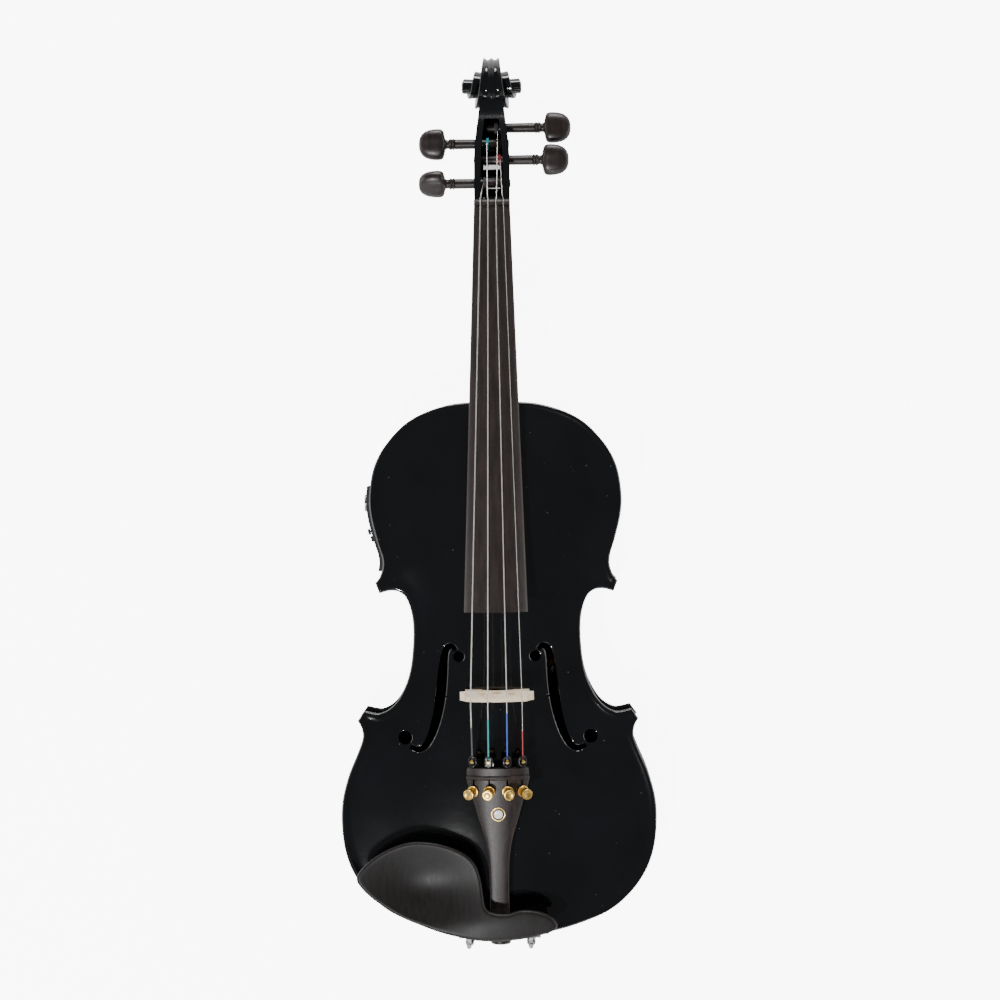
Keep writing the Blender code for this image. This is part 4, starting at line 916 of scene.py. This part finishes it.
def makeNut():
    half = board["nutWidth"] / 2
    xs = np.linspace(-half, half, 97)
    groove = sum(np.exp(-((xs - at) / 0.55) ** 2) for at in strung["nut"].values())
    rings = []
    for ahead, lower in ((0, 0.5), (0.25, 0.1), (1, 0), (2.2, 0.25), (3.4, 0.9), (4.1, 1.7), (4.2, 2.4)):
        y = nutY + ahead
        rise = boardTop(xs, nutY) + 0.9 - lower - 0.55 * groove
        side = 0.4 * np.clip((np.abs(xs) / half - 0.95) / 0.05, 0, 1)
        top = np.column_stack([xs, np.full(97, y), rise - side])
        low = gluePlane(y) + 0.1
        rings.append(np.vstack([top, [(half, y, low), (-half, y, low)]]))
    addPiece("nut", ringSolid(rings), "boardWood", replaced=["nut"], sharp=40)


strung = dict(
    radius=dict(g=0.4, d=0.37, a=0.31, e=0.22),
    # places across the bridge, the nut and the peg
    bridge=dict(g=-17, d=-5.7, a=6.6, e=16.6), nut=dict(g=-7.6, d=-2.6, a=2.6, e=7.6),
    peg=dict(g=-5.6, d=-3.4, a=4.0, e=5.6),
    # how far up the body the silk reaches, and the turns round the peg
    silkTo=dict(g=143.1, d=148.8, a=153, e=140.8), turns=dict(g=2.4, d=1.6, a=3.4, e=2.6),
    turnsFinish=dict(g="silkG", d="silkD", a="silkG", e="silkE"),
)
makeRibs()
makeNeck()
makeScroll()
makeFingerboard()
makeNut()
print("ribs, neck and board made")

peg = dict(
    cheek=11.9, radius=3.4, tip=2.8, turns=dict(g=45, d=5, a=-6, e=8),
    longer=dict(g=0, d=0.1, a=4.1, e=2.5),
    # out from the cheek, half breadth, half thickness
    shape=[(2, 3.3, 3.3), (8, 3.35, 3.35), (12.7, 3.4, 3.4), (12.95, 3.1, 3.1), (13.2, 3.6, 3.6),
           (13.8, 3.9, 3.9), (14.4, 3.65, 3.65), (14.75, 3.15, 3.15), (15.1, 3.6, 3.6),
           (15.75, 3.85, 3.85), (16.4, 3.5, 3.5), (16.8, 3.1, 3.1), (17.6, 3.0, 3.0), (18.7, 3.1, 3.0),
           (19.3, 3.8, 3.3), (19.7, 5.6, 3.9), (20.1, 7.6, 4.4), (20.8, 9.3, 5.0), (22, 10.2, 5.4),
           (24.2, 10.5, 5.55), (27.5, 10.35, 5.4), (30.5, 9.8, 5.1), (33, 8.8, 4.7), (35, 7.2, 4.1),
           (36.3, 5.3, 3.4), (37, 3.2, 2.5), (37.2, 1.4, 1.3)],
)


def makePegs():
    # Turned shank and rings that spread into a flat thumb piece with dished faces
    turns = fullTurn(40)
    for string in strings:
        side = head["pegSide"][string]
        cheek = peg["cheek"]
        more = peg["longer"][string]
        shape = [(out + more * (out > 10), broad, thick) for out, broad, thick in peg["shape"]]
        # The tip is trimmed just proud of the far cheek
        box = np.array(head["pegbox"])
        far = -cheek - float(np.interp(head["pegAlong"][string], box[:, 0], box[:, 3]))
        tip = peg["tip"]
        stations = [(far - 0.5, 0.8, 0.8), (far - 0.4, tip - 0.4, tip - 0.4), (far, tip, tip), *shape]
        rings = []
        for out, broad, thick in stations:
            flatness = min(1.0, max(0.0, (broad / thick - 1) / 0.9))
            power = 1 - 0.12 * flatness
            a = blunt(np.cos(turns), power)
            b = blunt(np.sin(turns), power)
            dish = 1 - 0.12 * flatness * np.exp(-((a - 0.05) / 0.42) ** 2)
            rings.append(np.column_stack([np.full(40, side * (cheek + out)), broad * a, thick * b * dish]))
        y, z = headPoint(head["pegAlong"][string], head["pegDown"][string])
        matrix = Matrix.Translation((0, y, z)) @ Matrix.Rotation(math.radians(peg["turns"][string]), 4, "X")
        addPiece(f"peg_{string}_turned", shifted(ringSolid(rings), matrix), "pegWood", f"peg_{string}",
                 [f"peg_{string}"], sharp=48)


makePegs()


# Strings
bridgeShape = dict(
    height=33, front=4.9, back=-1.1, planed=3.4,
    side=[(20.4, 25.6), (21.6, 21.6), (23.2, 18.2), (24.2, 15.8), (23.9, 13.4), (21.4, 11.6),
          (16.4, 10.6), (14.8, 8.4), (16.6, 5.4), (21, 3.4)],
    under=[(10.3, 1.2), (8.6, 3.4), (5, 6.4), (0, 7.4), (-5, 6.4)],
)
fretToBridge = 52
tail = dict(length=105, nose=7, radius=42, thickness=4.5, saddleRise=6.5, overSaddle=3.4, fall=0.256,
            tuners=dict(g=-16, d=-5.7, a=6.2, e=16), behindFret=8.8)
fretY = bridgeY - fretToBridge
bridgeArch = float(arching(np.array([[0.0, bridgeY]]))[0])
bridgeFoot = plateTop + (violin["topRise"] - violin["edge"]) * bridgeArch
bridgeCrown = bridgeFoot + bridgeShape["height"]
fretHeight = bridgeCrown - tail["fall"] * fretToBridge - 0.8
tailSlope = (fretHeight - plateTop - tail["saddleRise"] - tail["overSaddle"]) / fretY


def bridgeTop(x):
    return bridgeCrown - sagitta(x, board["radius"])


def tailTop(y):
    return fretHeight + tailSlope * (y - fretY)


def tunerMatrix(string):
    # Frame of a tuner: z along its screw, y toward the bridge
    x = tail["tuners"][string]
    y = fretY - tail["behindFret"]
    lean = math.asin(x / tail["radius"])
    z = tailTop(y) - float(sagitta(abs(x), tail["radius"]))
    turn = Matrix.Rotation(math.atan(tailSlope), 4, "X") @ Matrix.Rotation(lean, 4, "Y")
    return Matrix.Translation((x, y, z)) @ turn


tunerFront = (tail["nose"] + tail["behindFret"]) / math.cos(math.atan(tailSlope)) + 0.8
forkReach = tunerFront + 6.6
forkHeight = 1.4


def stringUv(path, sides):
    steps = np.r_[0, np.cumsum(np.linalg.norm(np.diff(path, axis=0), axis=1))]
    around = np.tile(np.linspace(0, 1, sides, endpoint=False), len(path))
    run = np.repeat(steps / 100, sides)
    uv = np.column_stack([around, run])
    return np.vstack([uv, [(0.5, 0), (0.5, steps[-1] / 100)]])


def threadPiece(name, path, radius, finish, body="violin", replaced=(), sides=12):
    uv = stringUv(path, sides)
    # The winding's pattern goes by point number, so no points are merged; no normal is changed
    return addPiece(name, sweep(path, radius, sides), finish, body, replaced, uv=uv,
                    normals=(np.zeros((1, 3)), 0))


def makeStrings():
    for string in strings:
        radius = strung["radius"][string]
        side = head["pegSide"][string]
        y, z = headPoint(head["pegAlong"][string], head["pegDown"][string])
        x = strung["nut"][string]
        nutTop = float(boardTop(abs(x), nutY)) + 0.9
        bx = strung["bridge"][string]
        over = float(bridgeTop(abs(bx))) + radius + 0.05
        # From the peg's top, over the nut, to the bridge
        pegX = strung["peg"][string]
        knots = [(pegX, y, z + peg["radius"] + radius), (x * 0.6 + pegX * 0.4, nutY + 9, nutTop - 3.3),
                 (x, nutY + 4.1, nutTop - 0.9), (x, nutY + 2.2, nutTop + radius - 0.35),
                 (x, nutY + 0.5, nutTop + radius), (x + (bx - x) * 0.02, nutY - 6, nutTop + radius + 0.2)]
        front = smoothLine(knots, 1.2)
        end = np.array([bx, bridgeY, over])
        path = np.vstack([front, np.linspace(front[-1], end, 60)[1:]])
        threadPiece(f"string_{string}_playing", path, radius, "stringWire", replaced=[f"string_{string}"])
        # From the bridge to the fork, the last part wound with silk
        lever = f"tuner_lever_{string}"
        matrix = tunerMatrix(string)
        fork = np.array(matrix @ Vector((0, forkReach - 1.2, forkHeight)))
        silkStart = end + (fork - end) * (bridgeY - strung["silkTo"][string]) / (bridgeY - fork[1])
        bare = threadPiece(f"string_{string}_tail", np.linspace(end, fork, 40), radius * 0.98,
                           "stringWire", None)
        silk = threadPiece(f"silk_{string}", np.linspace(silkStart, fork, 24), radius + 0.14,
                           "silk" + string.upper(), None)
        for piece in (bare, silk):
            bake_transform(piece)
        # The fork's two hooks, bent round the ball as one loop
        turns = fullTurn(40)
        bend = np.column_stack([2.3 * np.cos(turns), 3.3 * np.sin(turns), 0.9 * np.sin(turns) ** 2])
        hooks = sweep(bend, 0.75, 12, across=(0, 0, 1), closed=True)
        spot = matrix @ Matrix.Translation((0, forkReach - 2.9, forkHeight - 0.6))
        addPiece(f"fork_hooks_{string}", shifted(hooks, spot), "blackMetal", lever)
        # Brass ball behind the fork, on its string
        ball = revolve([(0, -1.5), (1.2, -1.5), (1.75, -1.2), (1.9, 0), (1.75, 1.2), (1.2, 1.5),
                        (0, 1.5)], 24)
        spot = matrix @ Matrix.Translation((0, forkReach - 3.1, forkHeight - 0.6))
        spot = spot @ Matrix.Rotation(pi / 2, 4, "Y")
        addPiece(f"ball_end_{string}", shifted(ball, spot), "brass", lever)
        # Turns round the peg
        count = strung["turns"][string]
        angle = np.linspace(0, count * 2 * pi, int(count * 26))
        reach = peg["radius"] + radius + 0.02
        across = pegX - side * np.linspace(0, count * radius * 2.15, len(angle))
        coil = np.column_stack([across, y + reach * np.sin(angle), z + reach * np.cos(angle)])
        finish = strung["turnsFinish"][string]
        threadPiece(f"winding_{string}", coil, radius, finish, f"peg_{string}", sides=8)


makeStrings()
print("pegs and strings made")


# Bridge
def makeBridge():
    xs = np.linspace(0, 20, 14)
    top = [(x, float(bridgeTop(x)) - bridgeFoot) for x in xs]
    side = smoothLine([top[-1], *bridgeShape["side"]], 0.8)
    lift = violin["ribHeight"] - bridgeFoot + 0.05
    feet = [(x, topHeight(x, bridgeY) + lift) for x in np.linspace(21.2, 10.5, 8)]
    under = smoothLine(bridgeShape["under"], 0.9)
    under = under[under[:, 0] >= 0]
    half = np.vstack([top, side[1:], feet, under])
    mirrored = half[half[:, 0] > 0.01][::-1] * (-1, 1)
    loop = np.vstack([half, mirrored])[::-1]
    turns = fullTurn(36)
    # Heart: a circle drawn out below into a point, and a kidney on either side
    heartX = 3.4 * np.sin(turns) ** 3 * 1.15
    heartY = 19.4 + 0.25 * (13 * np.cos(turns) - 5 * np.cos(2 * turns) - 2 * np.cos(3 * turns)
                            - np.cos(4 * turns))
    kidneyX = 9.8 + 2.7 * np.cos(turns)
    kidneyY = 22.3 + 2.2 * np.sin(turns) - 0.9 * np.cos(turns) ** 2
    holes = [np.column_stack(pair) for pair in ((heartX, heartY), (-kidneyX, kidneyY), (kidneyX, kidneyY))]
    flat, triangles = fillLoops(loop, holes, 1.6)
    # Tail side nearly square to the plate; scroll side thick up to the arms and planed away above
    share = np.clip(flat[:, 1] / bridgeShape["height"], 0, 1)
    planed = bridgeShape["planed"] * np.clip((share - 0.45) / 0.55, 0, 1) ** 1.2
    chamfer = 0.22 * (1 - np.clip(edgeDistance(flat, loop) / 0.35, 0, 1))
    front = bridgeShape["front"] - planed - chamfer
    back = bridgeShape["back"] + 0.4 * share + chamfer
    points, faces = slab(flat, triangles, front, back)
    stood = np.column_stack([points[:, 0], bridgeY + points[:, 2], bridgeFoot + 0.05 + points[:, 1]])
    addPiece("bridge", (stood, faces), "bridgeMaple", replaced=["bridge"], sharp=38)


makeBridge()

# Tailpiece
tailShape = [(0, 20.4), (0.5, 21.6), (1.6, 22.2), (5, 22.5), (9, 22.4), (14, 20.9), (20, 18.4), (27, 16.2),
             (33, 14.4), (42, 11.4), (50, 9.2), (58, 7.8), (68, 7), (85, 6.7), (99, 6.8), (103.5, 6),
             (104.6, 5.2), (105, 4.2)]


def bent(bend, reach, y, lift):
    # Points on arcs round a line along y, which lies under the tailpiece by its radius
    return np.column_stack([reach * np.sin(bend), np.full(len(bend), y),
                            lift - tail["radius"] + reach * np.cos(bend)])


def bentSection(half, y, lift, thickness):
    # A rounded bar bent over a cylinder, thickness inward
    turns = fullTurn(64)
    bend = half * blunt(np.cos(turns), 0.5) / tail["radius"]
    reach = tail["radius"] + thickness / 2 * blunt(np.sin(turns), 0.45) - thickness / 2
    return bent(bend, reach, y, lift)


def makeTailpiece():
    nose = fretY + tail["nose"]
    rings = []
    for back, half in smoothLine(tailShape, 1.6):
        y = nose - back
        ends = min(1.0, 0.35 + min(back, tail["length"] - back) / 1.2)
        thick = tail["thickness"] * ends
        lift = tailTop(y) - (tail["thickness"] - thick) / 2
        rings.append(bentSection(half, y, lift, thick))
    tools = []
    for string in strings:
        matrix = tunerMatrix(string)
        hole = revolve([(0, -12), (1.75, -12), (1.75, 12), (0, 12)], 24)
        slot = boxSolid((-0.55, 1.2, -10), (0.55, 7.4, 10))
        tools += [shifted(hole, matrix), shifted(slot, matrix)]
    carved("tailpiece", ringSolid(rings), tools, "boardWood", replaced=["tailpiece"], sharp=40)


def makeFret():
    # A low rounded strip across the tailpiece
    rings = []
    half = 21.9
    for ahead, rise in ((-1.5, -0.3), (-1.45, 0.15), (-1.1, 0.75), (-0.6, 1.25), (0, 1.4), (0.6, 1.25),
                        (1.1, 0.75), (1.45, 0.15), (1.5, -0.3)):
        y = fretY + ahead
        lift = tailTop(y)
        turns = np.linspace(-half, half, 61) / tail["radius"]
        fade = np.clip((half - np.abs(turns) * tail["radius"]) / 0.8, 0, 1) ** 0.5
        high = tail["radius"] + (rise + 0.3) * fade - 0.3
        low = tail["radius"] - 0.5
        rings.append(np.vstack([bent(turns, high, y, lift), bent(turns, low, y, lift)[::-1]]))
    addPiece("tailpiece_fret_strip", ringSolid(rings), "boardWood", replaced=["tailpiece_fret"], sharp=40)


eye = dict(y=84.6, ringOuter=4.8, ringInner=4.0, dot=2.9, proud=0.12)


def makeEye():
    # Inlaid ring and dot, following the tailpiece's round
    spot = Matrix.Translation((0, eye["y"], tailTop(eye["y"])))
    spot = spot @ Matrix.Rotation(math.atan(tailSlope), 4, "X")
    proud = eye["proud"]
    for name, inner, outer, finish in (("eye_ring", eye["ringInner"], eye["ringOuter"], "brass"),
                                       ("eye_dot", 0, eye["dot"], "pearl")):
        rim = [(outer, -0.8), (outer, proud - 0.03), (outer - 0.05, proud)]
        profile = [(0, -0.8), *rim, (1.4, proud), (0, proud)]
        if inner:
            profile = [(inner, -0.8), *rim, (inner + 0.05, proud), (inner, proud - 0.03), (inner, -0.8)]
        points, faces = revolve(profile, 64)
        points[:, 2] -= sagitta(points[:, 0], tail["radius"])
        addPiece(name, shifted((points, faces), spot), finish, sharp=35)


makeTailpiece()
makeFret()
makeEye()
print("bridge and tailpiece made")

tuner = dict(
    screw=1.1, screwLow=-8.2, neck=1.6, headRadius=3.6, headLow=5.1, headHigh=9.3, headKnurls=26,
    collar=3.9, collarHigh=2.3, collarKnurls=30,
)


def knurled(radius, low, high, knurls, depth=0.14, bore=0.0):
    # A drum whose rim swells and sinks once for each knurl, its ends chamfered and dished
    steps = knurls * 6
    turns = fullTurn(steps)
    cut = depth * (0.5 + 0.5 * np.cos(knurls * turns)) ** 0.7
    profile = [(bore, low, 0), (radius - 0.7, low, 0), (radius - 0.35, low + 0.1, 0.2),
               (radius, low + 0.5, 1), (radius, high - 0.5, 1), (radius - 0.35, high - 0.1, 0.2),
               (radius - 0.7, high, 0), (radius * 0.62, high, 0), (radius * 0.5, high - 0.18, 0),
               (bore, high - 0.22, 0)]
    rings = [np.column_stack([(r - cut * share) * np.cos(turns), (r - cut * share) * np.sin(turns),
                              np.full(steps, z)]) for r, z, share in profile]
    return ringSolid(rings, wrapRows=bore > 0)


def makeTuners():
    for string in strings:
        matrix = tunerMatrix(string)
        collar = knurled(tuner["collar"], 0.25, tuner["collarHigh"], tuner["collarKnurls"], 0.1, 1.5)
        addPiece(f"tuner_collar_{string}", shifted(collar, matrix), "brass",
                 replaced=[f"tuner_nut_{string}"], sharp=32)
        drum = knurled(tuner["headRadius"], tuner["headLow"], tuner["headHigh"], tuner["headKnurls"])
        radius, low, high, neck = tuner["screw"], tuner["screwLow"], tuner["headLow"] + 0.2, tuner["neck"]
        shank = revolve([(0, low), (radius - 0.4, low), (radius, low + 0.5), (radius, high - 0.9),
                         (neck, high - 0.6), (neck, high), (0, high)], 24)
        addPiece(f"tuner_screw_{string}_head", shifted(together(drum, shank), matrix), "brass",
                 f"tuner_screw_{string}", [f"tuner_screw_{string}"], sharp=32)


def refinish(names, finish):
    # Solids kept as they are, with the finish of this scene
    for name in names:
        nodes[name].data.materials[0] = finishes[finish][0]


makeTuners()
refinish([f"tuner_{part}_{string}" for part in ("frame", "lever") for string in strings], "blackMetal")

# Chin rest
rest = dict(
    rim=65, shell=6, cup=11, rounding=2.3, legLow=37.9,
    outline=[(-93.8, 43.3), (-88, 52), (-76, 60.5), (-62, 66), (-49.9, 66.9), (-36, 64.5), (-23, 59),
             (-15.7, 51.8), (-12.2, 42), (-10.6, 31), (-8.6, 22.5), (-2, 19.6), (6, 19.4),
             (14, 21.4), (24.3, 20.6), (33.5, 17.2), (37.9, 12), (36.4, 7.6), (27.6, 4.4),
             (14.4, 1.8), (0, 0.7), (-15.7, 1.4), (-36.1, 5.9), (-51.2, 11.2), (-66.3, 17.7),
             (-81.4, 27.6), (-90.2, 36)],
)


def restSurface(flat):
    # Rim height, less a wide hollow for the chin on the left and a soft fall to the right and the tail
    x, y = flat[:, 0], flat[:, 1]
    hollow = ((x + 50) / 46) ** 2 + ((y - 38) / 31) ** 2
    fall = np.clip((x + 14) / 54, 0, 1) ** 1.6
    toTail = np.clip((15 - y) / 15, 0, 1) ** 1.5
    return rest["rim"] - rest["cup"] * np.exp(-1.6 * hollow) - 4.2 * fall - 2.4 * toTail


def makeChinrest():
    knots = rest["outline"]
    loop = smoothLine([*knots, knots[0]], 1.5, before=knots[-1], after=knots[1])[:-1][::-1]
    rounding = rest["rounding"]
    rows = [insetLoop(loop, inset) for inset in (0.15, 0.5, 1.0, 1.6, 2.4, 3.6)]
    flat, triangles = fillLoops(loop, [], 2.6, extra=rows, margin=1.55)
    margin = np.clip(edgeDistance(flat, loop), 0, rounding)
    corner = rounding - np.sqrt(rounding ** 2 - (rounding - margin) ** 2)
    surface = restSurface(flat)
    points, faces = slab(flat, triangles, surface - corner, surface - rest["shell"] + corner)
    legs = []
    for side in (-1, 1):
        near, far = sorted((side * 18.2, side * 32.3))
        ring = np.array([(near, 5.4), (far, 5.4), (far, 12.4), (near, 12.4)])
        middle = ring.mean(0)
        rings = [np.column_stack([middle + (ring - middle) * grow, np.full(4, z)])
                 for z, grow in ((rest["legLow"], 0.97), (rest["legLow"] + 0.4, 1), (56, 1), (60.2, 1))]
        legs.append(ringSolid(rings))
    addPiece("chinrest_shell", together((points, faces), *legs), "restWood", replaced=["chinrest"], sharp=50)
    for side, word in ((-1, "left"), (1, "right")):
        low, high = sorted((side * 18.4, side * 32.1))
        z = violin["ribHeight"] + topHeight(side * 25.0, 9.0) - 0.2
        addPiece(f"cork_pad_{word}", boxSolid((low, 5.6, z), (high, 12.2, rest["legLow"])), "cork")


makeChinrest()
print("tuners and chin rest made")

# Tail end
saddleRise = plateTop + tail["saddleRise"]


def makeTailEnd():
    shape = smoothLine([(0.6, 31.2), (0.6, saddleRise - 2.4), (0.9, saddleRise - 0.8), (1.9, saddleRise),
                        (3.4, saddleRise - 0.7), (5.4, saddleRise - 2.8), (6.9, saddleRise - 5), (7, 35.6),
                        (7, 31.2)], 0.5)
    rings = []
    for x in (-17, -16.9, -16.4, *np.linspace(-15.5, 15.5, 22), 16.4, 16.9, 17):
        dip = 1.6 * np.clip((abs(x) - 8) / 9, 0, 1) ** 2 + 0.5 * np.clip((abs(x) - 16.3) / 0.7, 0, 1)
        over = np.clip((shape[:, 1] - 36) / (saddleRise - 36), 0, None)
        rings.append(np.column_stack([np.full(len(shape), x), shape[:, 0], shape[:, 1] - dip * over]))
    addPiece("saddle_carved", ringSolid(rings), "boardWood", replaced=["saddle"], sharp=45)
    profile = smoothLine([(0, 9.2), (4.2, 9.1), (6.1, 8.7), (6.8, 7.6), (6.7, 6.3), (5.4, 5.5), (3.7, 4.9),
                          (3.5, 3.4), (3.7, 1.9), (5.6, 1.5), (7, 1.0), (7, -0.6), (6.6, -2.7), (3.8, -2.7),
                          (3.4, -22), (0, -22)], 0.35)
    middle = violin["ribHeight"] / 2
    matrix = Matrix.Translation((0, 0, middle)) @ Matrix.Rotation(pi / 2, 4, "X")
    addPiece("end_button_turned", shifted(revolve(profile, 48), matrix), "pegWood", replaced=["end_button"],
             sharp=45)
    # The cord leaves the tailpiece, crosses the saddle and goes round the button's neck
    cord = 0.9
    loop = 3.5 + cord + 0.3
    endY = fretY + tail["nose"] - tail["length"]
    endZ = float(tailTop(endY)) - 2.2
    start = [(3.2, endY + 4, endZ), (3.3, endY - 1.2, endZ), (3.6, 3.2, saddleRise + 1.3),
             (3.8, 0.8, saddleRise + 1.2), (4.0, -1.2, saddleRise - 0.6), (4.3, -1.9, saddleRise - 4),
             (4.5, -2.8, middle + 16), (loop, -3.3, middle + 9)]
    under = [(loop * math.cos(t), -3.3, middle - loop * math.sin(t)) for t in np.linspace(0, pi, 11)]
    back = [(-x, y, z) for x, y, z in reversed(start)]
    path = smoothLine([*start, *under, *back], 0.8)
    addPiece("tail_cord_nylon", sweep(path, cord, 14, across=(0.1, 0.98, 0.2)), "nylon",
             replaced=["tail_cord"])


makeTailEnd()

clampParts = ("chinrest_bracket", "chinrest_foot", "chinrest_barrel_left", "chinrest_barrel_right")
refinish([*clampParts, "output_jack"], "nickel")
refinish(["preamp_housing", "volume_slider", "tone_slider"], "blackPlastic")
corners = [name for name in nodes if name.startswith("corner_block")]
refinish(["tail_block", "neck_block", "bass_bar", "sound_post", *corners], "spruce")
refinish(["pickup"], "brass")
print("tail end made")


# Studio
def makeStudio():
    flat = bpy.data.meshes.new("floor")
    reach = studio["floorReach"]
    flat.from_pydata([(-reach, -reach, 0), (reach, -reach, 0), (reach, reach, 0), (-reach, reach, 0)], [],
                     [(0, 1, 2, 3)])
    flat.materials.append(paintedFloor())
    floor = bpy.data.objects.new("floor", flat)
    bpy.context.scene.collection.objects.link(floor)
    for name, (spot, power, wide, tall) in studio["lights"].items():
        data = bpy.data.lights.new(name, "AREA")
        data.shape = "RECTANGLE"
        data.size = wide
        data.size_y = tall
        data.energy = power
        lamp = bpy.data.objects.new(name, data)
        lamp.location = spot
        lamp.rotation_euler = (Vector((0, 0, 0.03)) - Vector(spot)).to_track_quat("-Z", "Y").to_euler()
        bpy.context.scene.collection.objects.link(lamp)
    world = bpy.data.worlds.new("studioRoom")
    bpy.context.scene.world = world
    world.use_nodes = True
    tree = world.node_tree
    backdrop = tree.nodes["Background"]
    coords = addNode(tree, "TexCoord")
    parts = addNode(tree, "SeparateXYZ", {"Vector": coords.outputs["Generated"]})
    # Light low walls under a dark ceiling
    glow = ramp(tree, parts.outputs["Z"], (0.0, studio["worldLow"]), (0.22, studio["worldLow"]),
                (0.5, studio["worldHigh"]))
    tree.links.new(glow, backdrop.inputs["Color"])
    backdrop.inputs["Strength"].default_value = 1.0


def makeCamera():
    # Almost straight down from 1.9 m, with a long lens
    data = bpy.data.cameras.new("camera")
    data.sensor_width = view["sensor"]
    data.lens = view["lens"]
    camera = bpy.data.objects.new("camera", data)
    bpy.context.scene.collection.objects.link(camera)
    turn = Matrix.Identity(3)
    for part, axis in (("roll", "Z"), ("swing", "Y"), ("tilt", "X")):
        turn = turn @ Matrix.Rotation(math.radians(view[part]), 3, axis)
    facing = Matrix(axes.T.tolist()) @ turn.transposed()
    camera.matrix_world = Matrix.Translation(place(view["place"]).tolist()) @ facing.to_4x4()
    bpy.context.scene.camera = camera


makeStudio()
makeCamera()
print("studio ready")
